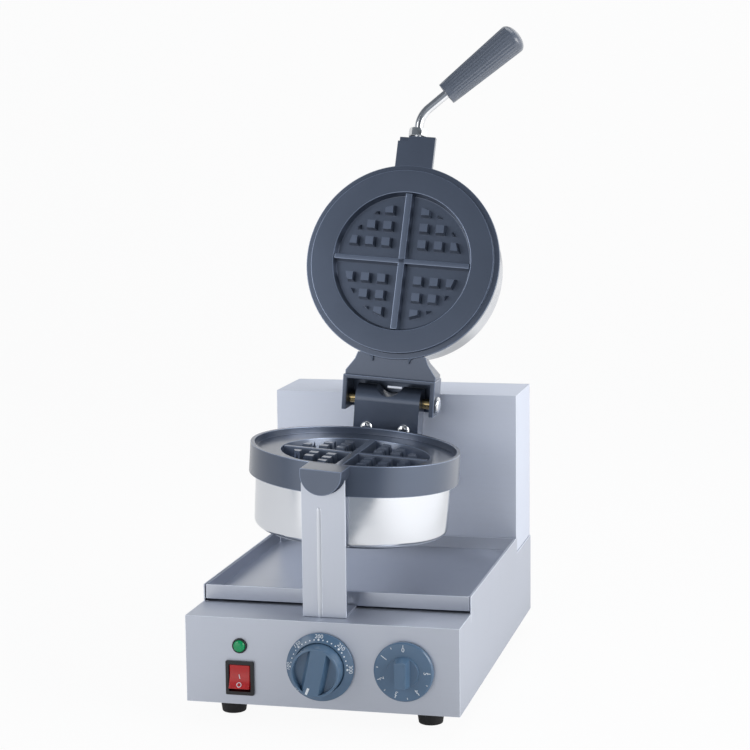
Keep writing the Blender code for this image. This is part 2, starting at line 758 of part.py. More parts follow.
def front_support(base):
    """The post whose top cradles the head's journal, with its foot, rib, bolts and nuts."""
    half = POST_WIDTH / 2
    low = DECK_HEIGHT + GAP
    post_rear = POST_FRONT + POST_SHEET
    post = box("front_support", (-half, POST_FRONT, low), (half, post_rear, AXIS_HEIGHT), base)
    cradle = hole("cradle", CRADLE_RADIUS, (0, POST_FRONT - OVERRUN, AXIS_HEIGHT + CRADLE_CENTRE),
                  POST_SHEET + 2 * OVERRUN, base, "Y", facets=FACETS_LARGE)
    inside = POST_FRONT + POST_SHEET / 2
    foot = box("post_foot", (-half, inside, low), (half, POST_FOOT_END, low + POST_SHEET), base)
    rib = box("post_rib", (-POST_SHEET / 2, inside, low + POST_SHEET / 2),
              (POST_SHEET / 2, post_rear + GUSSET_DEPTH, GUSSET_TOP), base)
    cut(post, cradle)
    fuse(post, foot, rib)
    seat = low + POST_SHEET + GAP
    shank_end = DECK_HEIGHT - SHEET - GAP - NUT_HEIGHT - GAP
    for side, across in zip(("left", "right"), support_bolt_places()):
        cut(post, hole("post_hole", BOLT_RADIUS + GAP, (across, BOLT_PLACE, low - OVERRUN),
                       POST_SHEET + 2 * OVERRUN, base))
        bolt = drum(f"support_bolt_{side}", BOLT_RADIUS, (across, BOLT_PLACE, shank_end),
                    seat + SINK - shank_end, base)
        fuse(bolt, drum("bolt_head", BOLT_HEAD_RADIUS, (across, BOLT_PLACE, seat), BOLT_HEAD_HEIGHT, base))
        nut = hexagon(f"support_nut_{side}", NUT_ACROSS, (across, BOLT_PLACE, shank_end + GAP), NUT_HEIGHT,
                      base)
        cut(nut, hole("nut_bore", BOLT_RADIUS + GAP, (across, BOLT_PLACE, shank_end - OVERRUN),
                      NUT_HEIGHT + 2 * OVERRUN, base))
        finish(bolt, shop.bright)
        finish(nut, shop.bright)
    finish(post, shop.steel)


# Controls

def switch(base):
    """The rocker switch: its housing in the panel and the rocker on its pivot pins."""
    half_wide = SWITCH_WIDTH / 2
    half_tall = SWITCH_TALL / 2
    centre = Matrix.Translation((CONTROL_X, 0, SWITCH_HEIGHT))
    bezel = box("switch_bezel", (-half_wide, -GAP - SWITCH_FLANGE, -half_tall),
                (half_wide, -GAP, half_tall), base, centre)
    body = box("switch_body", (-SWITCH_BODY_WIDTH / 2, -GAP - SWITCH_FLANGE / 2, -SWITCH_BODY_TALL / 2),
               (SWITCH_BODY_WIDTH / 2, SWITCH_BODY_DEPTH, SWITCH_BODY_TALL / 2), base, centre)
    room_wide = ROCKER_WIDTH / 2 + ROCKER_GAP
    room_tall = ROCKER_TALL / 2 + ROCKER_SWING_ROOM
    swing = ROCKER_TALL / 2 * math.sin(ROCKER_TILT)
    room_deep = ROCKER_PIVOT_DEPTH + ROCKER_BACK + swing + ROCKER_GAP
    room = box("rocker_room", (-room_wide, -GAP - SWITCH_FLANGE - OVERRUN, -room_tall),
               (room_wide, room_deep, room_tall), base, centre)
    on_pivot = centre @ Matrix.Translation((0, ROCKER_PIVOT_DEPTH, 0))
    pins = placed(hole("pin_sockets", ROCKER_PIVOT_RADIUS + GAP, (-room_wide - ROCKER_PIVOT_REACH, 0, 0),
                       2 * (room_wide + ROCKER_PIVOT_REACH), base, "X"), on_pivot)
    fuse(bezel, body)
    cut(bezel, room, pins)
    finish(bezel, shop.black, smooth=False)
    front = -ROCKER_PIVOT_DEPTH - ROCKER_REACH
    half = ROCKER_TALL / 2
    side = [(front, -half), (front + ROCKER_DISH, 0), (front, half), (ROCKER_BACK, half),
            (ROCKER_BACK, -half)]
    pivot = on_pivot @ Matrix.Rotation(-ROCKER_TILT, 4, "X")
    rocker = outline("switch_rocker", side, ROCKER_WIDTH, base, pivot @ sideways())
    reach = room_wide + ROCKER_PIVOT_REACH - GAP
    pin = drum("rocker_pins", ROCKER_PIVOT_RADIUS, (-reach, 0, 0), 2 * reach, base, "X")
    fuse(rocker, placed(pin, pivot))
    finish(rocker, shop.red, smooth=False)


def lamp(base):
    """The indicator lamp: a dark ring with its barrel, and a domed green lens."""
    place = upright(CONTROL_X, LAMP_HEIGHT)
    top = GAP + LAMP_FLANGE
    bore = LAMP_LENS_RADIUS + GAP
    narrow = LAMP_LENS_RADIUS - SHEET
    end = -LAMP_BODY_DEPTH
    ring = [(bore, top), (LAMP_RADIUS - LAMP_EDGE, top), (LAMP_RADIUS, GAP), (LAMP_BODY_RADIUS, GAP),
            (LAMP_BODY_RADIUS, end), (narrow, end), (narrow, -SHEET), (bore, -SHEET)]
    finish(turned("lamp_bezel", ring, base, place, closed=True), shop.black)
    lens = [*dome(LAMP_LENS_RADIUS, top, LAMP_CROWN), (LAMP_LENS_RADIUS, -SHEET + GAP), (0, -SHEET + GAP)]
    finish(turned("lamp_lens", lens, base, place), shop.green)


def spindle(base, place, underside):
    """The shank that carries a knob, from its underside through the panel into its body."""
    length = SPINDLE_LENGTH + underside + SINK
    return placed(drum("spindle", SPINDLE_RADIUS, (0, 0, -SPINDLE_LENGTH), length, base), place)


def thermostat(base):
    """The fixed dial, the turning knob with its ridge, and the body behind the panel."""
    place = upright(0, THERMOSTAT_HEIGHT)
    top = GAP + DIAL_THICKNESS
    bore = SPINDLE_RADIUS + GAP
    dial = [(bore, top), (DIAL_RADIUS - DIAL_EDGE, top), (DIAL_RADIUS, top - DIAL_EDGE), (DIAL_RADIUS, GAP),
            (bore, GAP)]
    finish(turned("thermostat_dial", dial, base, place, facets=FACETS_LARGE, closed=True), shop.knob)
    low = top + GAP
    high = low + KNOB_REACH
    shoulder = high - KNOB_RIDGE_REACH
    turn = place @ Matrix.Rotation(THERMOSTAT_TURN, 4, "Z")
    profile = [(0, high), (KNOB_FACE_RADIUS - KNOB_EDGE, high), (KNOB_FACE_RADIUS, high - KNOB_EDGE),
               (KNOB_BASE_RADIUS, low), (0, low)]
    knob = turned("thermostat_knob", profile, base, turn, facets=FACETS_LARGE // 2)
    reach = KNOB_FACE_RADIUS - KNOB_WALL
    spread = math.acos(KNOB_RIDGE_WIDTH / 2 / reach)
    middle = (shoulder + high + OVERRUN) / 2
    for side in (0, math.pi):
        segment = arc((0, 0), reach, side - spread, side + spread, FACETS_SMALL)
        scoop = outline("finger_scoop", segment, high + OVERRUN - shoulder, base,
                        turn @ Matrix.Translation((0, 0, middle)))
        cut(knob, scoop)
    fuse(knob, spindle(base, turn, low))
    finish(knob, shop.knob)
    body = [(bore, -SHEET - GAP), (THERMOSTAT_BODY_RADIUS, -SHEET - GAP),
            (THERMOSTAT_BODY_RADIUS, -THERMOSTAT_BODY_DEPTH), (bore, -THERMOSTAT_BODY_DEPTH)]
    finish(turned("thermostat_body", body, base, place, closed=True), shop.white)


def timer(base):
    """The timer knob with its disc and grip bar, and the clockwork body behind the panel."""
    place = upright(TIMER_X, TIMER_HEIGHT)
    top = GAP + TIMER_THICKNESS
    disc = [(0, top), (TIMER_RADIUS - KNOB_EDGE, top), (TIMER_RADIUS, top - KNOB_EDGE), (TIMER_RADIUS, GAP),
            (0, GAP)]
    knob = turned("timer_knob", disc, base, place, facets=FACETS_LARGE // 2)
    high = GAP + TIMER_REACH
    side = [(0, high), (TIMER_HUB_TOP_RADIUS, high), (TIMER_HUB_RADIUS, top - SINK), (0, top - SINK)]
    hub = turned("timer_hub", side, base, place)
    for side in (-1, 1):
        near = side * TIMER_BAR_WIDTH / 2
        far = side * (TIMER_HUB_RADIUS + OVERRUN)
        reach = TIMER_HUB_RADIUS + OVERRUN
        step = top + TIMER_THICKNESS / 2
        cut(hub, box("hub_side", (min(near, far), -reach, step), (max(near, far), reach, high + OVERRUN),
                     base, place))
    fuse(knob, hub, spindle(base, place, GAP))
    finish(knob, shop.knob)
    half = TIMER_BODY_SIZE / 2
    body = box("timer_body", (-half, -half, -TIMER_BODY_DEPTH), (half, half, -SHEET - GAP), base, place)
    bore = hole("timer_bore", SPINDLE_RADIUS + GAP, (0, 0, -TIMER_BODY_DEPTH / 2), TIMER_BODY_DEPTH, base)
    cut(body, placed(bore, place))
    finish(body, shop.white, smooth=False)


def rear_fittings(base):
    """The cord's inlet gland, the earth screw and the terminal block in the base."""
    place = along("Y", (GLAND_X, BASE_DEPTH, GLAND_HEIGHT))
    gland = placed(hexagon("cable_gland", GLAND_NUT_ACROSS, (0, 0, GAP), GLAND_REACH / 2, base), place)
    middle = GLAND_REACH / 2 - SINK
    side = [(0, GLAND_REACH), (GLAND_RADIUS, GLAND_REACH), (GLAND_CAP_RADIUS, GLAND_REACH - GLAND_CAP_EDGE),
            (GLAND_CAP_RADIUS, middle), (0, middle)]
    cap = turned("gland_cap", side, base, place)
    neck = drum("gland_neck", GLAND_RADIUS, (0, 0, -GLAND_INSIDE), GLAND_INSIDE + SINK, base,
                facets=FACETS_MEDIUM)
    bore = drum("gland_bore", GLAND_BORE, (0, 0, -GLAND_INSIDE - OVERRUN),
                GLAND_INSIDE + GLAND_REACH + 2 * OVERRUN, base, facets=FACETS_MEDIUM)
    fuse(gland, cap, placed(neck, place))
    cut(gland, placed(bore, place))
    finish(gland, shop.black)
    seat = Matrix.Translation((0, BASE_DEPTH + GAP, 0)) @ upright(EARTH_X, GLAND_HEIGHT)
    finish(screw("earth_screw", base, seat, SCREW_REACH), shop.bright)
    low = SHEET + GAP
    half = TERMINAL_LENGTH / 2
    rear = BASE_DEPTH - FOOT_INSET_Y - SCREW_HEAD_RADIUS - TERMINAL_DEPTH
    block = box("terminal_block", (-half, rear, low),
                (half, rear + TERMINAL_DEPTH, low + TERMINAL_TALL), base)
    pitch = TERMINAL_LENGTH / TERMINAL_WAYS
    middle = low + TERMINAL_TALL / 2
    for way in range(TERMINAL_WAYS):
        across = (way - (TERMINAL_WAYS - 1) / 2) * pitch
        cut(block, hole("terminal_hole", TERMINAL_HOLE_RADIUS, (across, rear - OVERRUN, middle),
                        TERMINAL_DEPTH + 2 * OVERRUN, base, "Y", FACETS_SMALL // 2))
    finish(block, shop.white, smooth=False)


# Head: lower plate, pot and rotary shaft

def grid(parent, at):
    """The raised cross bars and pegs of one plate, as tools whose tops lie just under z = 0."""
    floor = -RECESS_DEPTH - SINK
    top = -FLUSH_STEP
    reach = RECESS_RADIUS + SINK
    bars = []
    for half_x, half_y in ((BAR_WIDE / 2, reach), (reach, BAR_NARROW / 2)):
        solid = bmesh.new()
        frustum(solid, (0, 0), half_x, half_y, floor, top, PEG_DRAFT)
        bars.append(add_object("grid_bar", mesh_of("grid_bar", solid), parent, at))
    solid = bmesh.new()
    places = [PEG_FIRST + row * PEG_PITCH for row in range(PEG_ROWS)]
    half = PEG_SIZE / 2
    for across in places:
        for back in places:
            if math.hypot(across - half, back - half) > PEG_CIRCLE - SINK:
                continue
            for side_x in (-1, 1):
                for side_y in (-1, 1):
                    frustum(solid, (side_x * across, side_y * back), half, half, floor, top, PEG_DRAFT)
    pegs = add_object("grid_pegs", mesh_of("grid_pegs", solid), parent, at)
    low = floor - OVERRUN
    side = [(0, OVERRUN), (PEG_CIRCLE, OVERRUN), (PEG_CIRCLE, 0), (PEG_CIRCLE + PEG_DRAFT, floor),
            (PEG_CIRCLE + PEG_DRAFT, low), (0, low)]
    keep(pegs, turned("peg_circle", side, parent, at, facets=FACETS_LARGE))
    return [*bars, pegs]


def journal(name, parent, at, length):
    """Half of the round front journal: flat at local y = 0, its round side below, along local z."""
    low = -JOURNAL_DROP
    points = [(JOURNAL_RADIUS, 0)]
    points += arc((0, low), JOURNAL_RADIUS, 0, -math.pi, FACETS_MEDIUM)
    points += [(-JOURNAL_RADIUS, 0)]
    return outline(name, points, length, parent, at @ Matrix.Translation((0, 0, length / 2)))


def pot_bolt_hole(low):
    """The end of a plate's bolt boss as profile points, from its outer side to its bore's floor."""
    bore = POT_BOLT_RADIUS + GAP
    return [(BOSS_RADIUS, low), (bore, low), (bore, low + BOSS_HOLE_DEPTH), (0, low + BOSS_HOLE_DEPTH)]


def lower_plate(head):
    """The lower casting: rim, ring, recess with its grid, half journal in front and neck behind."""
    at = Matrix.Translation((0, PLATE_CENTRE, 0))
    inner = PLATE_RADIUS - RIM_WALL
    floor = -RIM_DEPTH - RECESS_DEPTH
    skirt = PLATE_RADIUS - SKIRT_WALL
    profile = [(0, floor), (RECESS_RADIUS - RECESS_DRAFT, floor), (RECESS_RADIUS, -RIM_DEPTH),
               (inner, -RIM_DEPTH), (inner, -RIM_CHAMFER), (inner + RIM_CHAMFER, 0),
               (PLATE_RADIUS - RIM_CHAMFER, 0), (PLATE_RADIUS, -RIM_CHAMFER), (PLATE_RADIUS, -RIM_SKIRT),
               (skirt, -RIM_SKIRT), (skirt, -PLATE_UNDERSIDE), (BOSS_RADIUS, -PLATE_UNDERSIDE)]
    profile += pot_bolt_hole(-POT_DEPTH + POT_SHEET + GAP)
    plate = turned("lower_plate", profile, head, at, facets=FACETS_LARGE)
    fuse(plate, *grid(head, at @ Matrix.Translation((0, 0, -RIM_DEPTH))))
    start = PLATE_CENTRE - inner - SINK
    place = Matrix.Translation((0, start, 0)) @ upright(0, -FLUSH_STEP)
    boss = journal("lower_journal", head, place, start - JOURNAL_FRONT)
    rear = HINGE_Y + BLOCK_REAR
    neck_start = PLATE_CENTRE + inner - SINK
    low = NECK_TOP - NECK_THICKNESS
    neck = box("neck", (-NECK_HALF_WIDTH, neck_start, low), (NECK_HALF_WIDTH, rear, NECK_TOP), head)
    fuse(plate, boss, neck)
    for across in neck_screw_places():
        cut(plate, hole("neck_hole", SCREW_RADIUS + GAP, (across, HINGE_Y, low - OVERRUN),
                        NECK_THICKNESS + 2 * OVERRUN, head, facets=FACETS_SMALL // 2))
    finish(plate, shop.coated)


def neck_screw_places():
    """Where the screws that hold the hinge block on the neck stand."""
    return (-NECK_SCREW_SPACING / 2, NECK_SCREW_SPACING / 2)


def lug_screw_places():
    """Where the screws that hold the hinge block to the shaft's flange stand."""
    return (-LUG_SCREW_SPACING / 2, LUG_SCREW_SPACING / 2)


def pot(name, parent, at, top):
    """A thin steel drum cover, open at its top, with a bolt hole in its floor."""
    low = -POT_DEPTH
    narrow = POT_RADIUS - POT_TAPER
    centre = (narrow - POT_CORNER, low + POT_CORNER)
    inside = POT_CORNER - POT_SHEET
    bore = POT_BOLT_RADIUS + GAP
    quarter = math.pi / 2
    profile = [(POT_RADIUS, top), *arc(centre, POT_CORNER, 0, -quarter, POT_CORNER_STEPS), (bore, low),
               (bore, low + POT_SHEET), *arc(centre, inside, -quarter, 0, POT_CORNER_STEPS),
               (POT_RADIUS - POT_SHEET, top)]
    finish(turned(name, profile, parent, at, facets=FACETS_LARGE, closed=True), shop.bright)


def pot_bolt(name, parent, at):
    """The hexagon bolt that holds a pot to its plate's boss."""
    seat = -POT_DEPTH - GAP
    reach = BOSS_HOLE_DEPTH + POT_SHEET + GAP
    shank = placed(drum(name, POT_BOLT_RADIUS, (0, 0, seat - SINK), reach + SINK, parent), at)
    low = seat - POT_BOLT_HEAD_HEIGHT
    cap = hexagon("bolt_head", POT_BOLT_HEAD_ACROSS, (0, 0, low), POT_BOLT_HEAD_HEIGHT, parent)
    fuse(shank, placed(cap, at))
    finish(shank, shop.bright)


def heater(name, parent, at, underside):
    """The ring heater under a plate."""
    centre = (HEATER_RADIUS, underside - GAP - HEATER_TUBE)
    section = arc(centre, HEATER_TUBE, math.pi, -math.pi, FACETS_SMALL // 2)[:-1]
    finish(turned(name, section, parent, at, facets=FACETS_LARGE // 2, closed=True), shop.steel)


def hinge_block(head):
    """The block on the neck, its round knuckle on the hinge line and a half-moon in its top."""
    rear = math.acos(BLOCK_REAR / KNUCKLE_RADIUS)
    side = [(-KNUCKLE_RADIUS, BLOCK_BOTTOM - HINGE_HEIGHT)]
    side += arc((0, 0), KNUCKLE_RADIUS, math.pi, rear, FACETS_MEDIUM // 2)
    side += [(BLOCK_REAR, BLOCK_BOTTOM - HINGE_HEIGHT)]
    hinge = Matrix.Translation((0, HINGE_Y, HINGE_HEIGHT))
    block = outline("hinge_block", side, 2 * BLOCK_HALF_WIDTH, head, hinge @ sideways())
    reach = KNUCKLE_RADIUS + OVERRUN
    moon_height = HINGE_HEIGHT + KNUCKLE_RADIUS - BLOCK_NOTCH_DEPTH + BLOCK_NOTCH_RADIUS
    moon = hole("half_moon", BLOCK_NOTCH_RADIUS, (0, HINGE_Y - reach, moon_height), 2 * reach, head, "Y",
                facets=FACETS_MEDIUM)
    wide = BLOCK_HALF_WIDTH + OVERRUN
    bore = hole("hinge_bore", HINGE_BORE, (-wide, HINGE_Y, HINGE_HEIGHT), 2 * wide, head, "X")
    cut(block, moon, bore)
    for across in lug_screw_places():
        cut(block, hole("lug_hole", LUG_SCREW_RADIUS + GAP, (across, HINGE_Y - reach, -LUG_SCREW_DROP),
                        2 * reach, head, "Y"))
    for across in neck_screw_places():
        cut(block, hole("neck_thread", SCREW_RADIUS + GAP, (across, HINGE_Y, BLOCK_BOTTOM - OVERRUN),
                        NECK_SCREW_REACH + OVERRUN, head, facets=FACETS_SMALL // 2))
    finish(block, shop.coated)


def block_screws(head):
    """The screws that hold the hinge block, to the neck from below and to the shaft from the front."""
    seat = NECK_TOP - NECK_THICKNESS - GAP
    for side, across in zip(("left", "right"), neck_screw_places()):
        place = Matrix.Translation((across, HINGE_Y, seat))
        finish(screw(f"neck_screw_{side}", head, place, NECK_THICKNESS + NECK_SCREW_REACH), shop.bright)
    face = HINGE_Y - KNUCKLE_RADIUS - GAP
    reach = FLANGE_FRONT + SHAFT_FLANGE - GAP - face
    cap = dome(LUG_HEAD_RADIUS, 0, -LUG_HEAD_HEIGHT)
    profile = [(0, reach), (LUG_SCREW_RADIUS, reach), (LUG_SCREW_RADIUS, 0), *reversed(cap)]
    for side, across in zip(("left", "right"), lug_screw_places()):
        place = along("Y", (across, face, -LUG_SCREW_DROP))
        finish(turned(f"lug_screw_{side}", profile, head, place, facets=FACETS_SMALL), shop.bright)


def rotary_shaft(head):
    """The flanged hollow shaft that carries the head, and the collar that keeps it in its bearing."""
    length = BEARING_LENGTH + 2 * GAP + BEARING_FLANGE + COLLAR_LENGTH + SHAFT_OVERHANG
    start = FLANGE_FRONT
    shoulder = SHOULDER_END - start
    end = shoulder + GAP + length
    profile = [(SHAFT_BORE, end), (SHAFT_RADIUS, end), (SHAFT_RADIUS, shoulder),
               (SHOULDER_RADIUS, shoulder), (SHOULDER_RADIUS, SHAFT_FLANGE),
               (SHAFT_FLANGE_RADIUS, SHAFT_FLANGE), (SHAFT_FLANGE_RADIUS, 0), (SHAFT_BORE, 0)]
    place = along("Y", (0, start, 0))
    shaft = turned("rotary_shaft", profile, head, place, facets=FACETS_MEDIUM, closed=True)
    for across in lug_screw_places():
        cut(shaft, hole("flange_hole", LUG_SCREW_RADIUS + GAP, (across, start - OVERRUN, -LUG_SCREW_DROP),
                        SHAFT_FLANGE + 2 * OVERRUN, head, "Y"))
    finish(shaft, shop.steel)
    collar = along("Y", (0, SHOULDER_END + 2 * GAP + BEARING_FLANGE + BEARING_LENGTH, 0))
    bore = SHAFT_RADIUS + GAP
    ring = [(bore, COLLAR_LENGTH), (COLLAR_RADIUS, COLLAR_LENGTH), (COLLAR_RADIUS, 0), (bore, 0)]
    finish(turned("shaft_collar", ring, head, collar, closed=True), shop.steel)


def bearing_screw_places():
    """Where the bearing's screws stand on the back box, across and up."""
    step = math.tau / BEARING_SCREWS
    last = math.tau - step / 2
    return arc((0, AXIS_HEIGHT), BEARING_SCREW_CIRCLE, step / 2, last, BEARING_SCREWS - 1)


def bearing(base):
    """The flanged bearing in the back box's front wall, and its screws."""
    start = SHOULDER_END + GAP
    bore = SHAFT_RADIUS + GAP
    end = BEARING_FLANGE + BEARING_LENGTH
    profile = [(bore, end), (BEARING_TUBE_RADIUS, end), (BEARING_TUBE_RADIUS, BEARING_FLANGE),
               (BEARING_FLANGE_RADIUS, BEARING_FLANGE), (BEARING_FLANGE_RADIUS, 0), (bore, 0)]
    housing = turned("bearing_housing", profile, base, along("Y", (0, start, AXIS_HEIGHT)), closed=True)
    for number, (across, height) in enumerate(bearing_screw_places(), 1):
        cut(housing, hole("bearing_hole", SCREW_RADIUS + GAP, (across, start - OVERRUN, height),
                          BEARING_FLANGE + 2 * OVERRUN, base, "Y", facets=FACETS_SMALL // 2))
        place = along("Y", (across, start - GAP, height))
        finish(screw(f"bearing_screw_{number}", base, place, SCREW_REACH), shop.bright)
    finish(housing, shop.steel)


# Lid: upper plate, pot, hinge and handle

def lid_face():
    """The lid's own frame under the hinge: x across, y towards the handle, z out of its inner face."""
    place = Matrix.Translation((0, PLATE_CENTRE - HINGE_Y, -LID_FACE_DROP - HINGE_HEIGHT))
    return place @ Matrix.Rotation(math.pi, 4, "X")


def upper_plate(lid):
    """The upper casting: raised disc with its grid, flange, half journal and clevis."""
    at = lid_face()
    step = -UPPER_DISC_STEP
    back = step - UPPER_FLANGE
    body = POT_RADIUS - POT_SHEET - 2 * GAP
    profile = [(0, -RECESS_DEPTH), (RECESS_RADIUS - RECESS_DRAFT, -RECESS_DEPTH), (RECESS_RADIUS, 0),
               (UPPER_DISC_RADIUS - RIM_CHAMFER, 0), (UPPER_DISC_RADIUS, -RIM_CHAMFER),
               (UPPER_DISC_RADIUS, step),
               (UPPER_RADIUS - RIM_CHAMFER, step), (UPPER_RADIUS, step - RIM_CHAMFER), (UPPER_RADIUS, back),
               (body, back), (body, -UPPER_BACK), (BOSS_RADIUS, -UPPER_BACK)]
    profile += pot_bolt_hole(-POT_DEPTH + POT_SHEET + GAP)
    plate = turned("upper_plate", profile, lid, at, facets=FACETS_LARGE)
    fuse(plate, *grid(lid, at))
    tab_start = POT_RADIUS + SINK
    tab_end = PLATE_CENTRE - JOURNAL_FRONT
    flat = at @ Matrix.Translation((0, tab_end, 0)) @ upright(0, step - FLUSH_STEP)
    tab = journal("upper_journal", lid, flat, tab_end - tab_start)
    notch = box("journal_notch", (-JOURNAL_RADIUS - OVERRUN, tab_end - NOTCH_LENGTH, step - NOTCH_DEPTH),
                (-JOURNAL_RADIUS + NOTCH_WIDTH, tab_end + OVERRUN, step + OVERRUN), lid, at)
    cut(tab, notch)
    thread = hole("rod_thread", ROD_SHANK_RADIUS + GAP, (0, tab_end - ROD_SHANK - GAP, -ROD_DEPTH),
                  ROD_SHANK + OVERRUN, lid, "Y")
    cut(tab, placed(thread, at))
    fuse(plate, tab, *clevis(lid))
    finish(plate, shop.coated)


def opened():
    """The hinge frame as it stands with the lid open: x across, y back, z up in the head's frame."""
    return Matrix.Rotation(LID_OPEN, 4, "X")


def clevis_back(lid, standing):
    """The wall between the clevis's arms, arched over the shaft's flange and slotted, as a tool."""
    half = CLEVIS_HALF_WIDTH - CLEVIS_ARM + SINK
    front = CLEVIS_REAR - CLEVIS_BACK
    wall = box("clevis_back", (-half, front, FLUSH_STEP - CLEVIS_BOTTOM),
               (half, CLEVIS_REAR - FLUSH_STEP, CLEVIS_INNER_TOP + SINK), lid, standing)
    start = front - OVERRUN
    deep = CLEVIS_BACK + 2 * OVERRUN
    arch = hole("clevis_arch", SHAFT_FLANGE_RADIUS + CLEVIS_ARCH_ROOM, (0, start, -HINGE_HEIGHT), deep, lid,
                "Y", facets=FACETS_LARGE)
    half_slot = CLEVIS_SLOT_WIDTH / 2
    slot = box("clevis_slot", (-half_slot, start, CLEVIS_SLOT_HEIGHT),
               (half_slot, start + deep, CLEVIS_SLOT_HEIGHT + CLEVIS_SLOT_TALL), lid, standing)
    cut(wall, placed(arch, standing), slot)
    return wall


def clevis(lid):
    """The two arms about the hinge block with their rear wall, and the web to the lid, as tools."""
    standing = opened()
    outer = CLEVIS_HALF_WIDTH
    inner = outer - CLEVIS_ARM
    roof = CLEVIS_INNER_TOP + CLEVIS_PLATE
    bridge = [(-outer, -CLEVIS_BOTTOM), (-inner, -CLEVIS_BOTTOM), (-inner, CLEVIS_INNER_TOP),
              (inner, CLEVIS_INNER_TOP), (inner, -CLEVIS_BOTTOM), (outer, -CLEVIS_BOTTOM),
              (outer, roof), (-outer, roof)]
    middle = (CLEVIS_REAR - CLEVIS_FRONT) / 2
    arms = outline("clevis_arms", bridge, CLEVIS_FRONT + CLEVIS_REAR, lid, standing @ facing(middle))
    wide = outer + OVERRUN
    bore = hole("clevis_bore", HINGE_BORE, (-wide, 0, 0), 2 * wide, lid, "X")
    cut(arms, bore)
    fuse(arms, clevis_back(lid, standing))
    to_open = standing.inverted() @ lid_face()
    front_root = to_open @ Vector((0, -WEB_ROOT, -WEB_ROOT_FRONT))
    rear_root = to_open @ Vector((0, -WEB_ROOT, -WEB_ROOT_FRONT - WEB_ROOT_DEPTH))
    low = CLEVIS_INNER_TOP + CLEVIS_PLATE / 2
    rear = CLEVIS_REAR - WEB_REAR_STEP
    side = [(-WEB_FRONT, low), (rear, low), (rear, WEB_REAR_HEIGHT), (rear_root.y, rear_root.z),
            (front_root.y, front_root.z)]
    web = outline("clevis_web", side, 2 * wide, lid, standing @ sideways())
    half_top = WEB_TOP_HALF_WIDTH
    half_low = WEB_SHOULDER_HALF_WIDTH
    high = front_root.z + OVERRUN
    front = [(-half_low, low - OVERRUN), (half_low, low - OVERRUN), (half_low, WEB_SHOULDER_HEIGHT),
             (half_top, WEB_TOP_HEIGHT), (half_top, high), (-half_top, high),
             (-half_top, WEB_TOP_HEIGHT), (-half_low, WEB_SHOULDER_HEIGHT)]
    deep = 2 * (CLEVIS_FRONT + CLEVIS_REAR)
    keep(web, outline("web_front", front, deep, lid, standing @ facing()))
    return arms, web


def hinge_hardware(lid):
    """The hinge bolt, screwed into the far arm, and the two brass bushes beside the block."""
    outer = CLEVIS_HALF_WIDTH
    seat = outer + GAP
    tail = GAP - outer
    profile = [*dome(HINGE_HEAD_RADIUS, seat, HINGE_HEAD_HEIGHT), (HINGE_PIN_RADIUS, seat),
               (HINGE_PIN_RADIUS, tail), (0, tail)]
    finish(turned("hinge_bolt", profile, lid, along("X")), shop.bright)
    low = BLOCK_HALF_WIDTH + GAP
    high = outer - CLEVIS_ARM - GAP
    ring = [(HINGE_BORE, high), (BUSH_RADIUS + GAP, high), (BUSH_RADIUS + GAP, low), (HINGE_BORE, low)]
    for name, side in (("bush_left", -1), ("bush_right", 1)):
        place = along("X") if side > 0 else along("X") @ Matrix.Rotation(math.pi, 4, "X")
        finish(turned(name, ring, lid, place, facets=FACETS_SMALL, closed=True), shop.brass)


def handle(lid):
    """The bent steel rod with its nut, and the tapered grip on its end."""
    at = lid_face() @ Matrix.Translation((0, PLATE_CENTRE - JOURNAL_FRONT + GAP, -ROD_DEPTH))
    bend = arc((ROD_BEND, ROD_STRAIGHT), ROD_BEND, math.pi, math.pi - ROD_BEND_ANGLE, ROD_BEND_STEPS)
    points = [Vector((0, 0, 0)), *(Vector((across, along_rod, 0)) for across, along_rod in bend)]
    lean = Vector((math.sin(ROD_BEND_ANGLE), math.cos(ROD_BEND_ANGLE), 0))
    grip_start = points[-1] + lean * ROD_AFTER_BEND
    points.append(grip_start + lean * ROD_IN_GRIP)
    rod = wire("handle_rod", points, ROD_RADIUS, lid, at)
    shank = drum("rod_shank", ROD_SHANK_RADIUS, (0, -ROD_SHANK, 0), ROD_SHANK + SINK, lid, "Y")
    fuse(rod, placed(shank, at))
    finish(rod, shop.bright)
    nut = placed(hexagon("handle_nut", ROD_NUT_ACROSS, (0, GAP, 0), ROD_NUT_HEIGHT, lid, "Y"), at)
    socket = ROD_RADIUS + GAP
    bore = hole("rod_bore", socket, (0, -OVERRUN, 0), ROD_NUT_HEIGHT + 2 * OVERRUN, lid, "Y")
    cut(nut, placed(bore, at))
    finish(nut, shop.bright)
    end = dome(GRIP_WIDE_RADIUS, GRIP_LENGTH - GRIP_DOME, GRIP_DOME, 2 * DOME_STEPS)
    profile = [*end, (GRIP_NARROW_RADIUS, GRIP_MOUTH_CHAMFER), (GRIP_NARROW_RADIUS - GRIP_MOUTH_CHAMFER, 0),
               (GRIP_MOUTH_RADIUS, 0), (GRIP_MOUTH_RADIUS, GRIP_MOUTH_DEPTH), (socket, GRIP_MOUTH_DEPTH),
               (socket, ROD_IN_GRIP + GAP), (0, ROD_IN_GRIP + GAP)]
    aim = Vector((0, 0, 1)).rotation_difference(lean).to_matrix().to_4x4()
    finish(turned("handle_grip", profile, lid, at @ Matrix.Translation(grip_start) @ aim), shop.black)


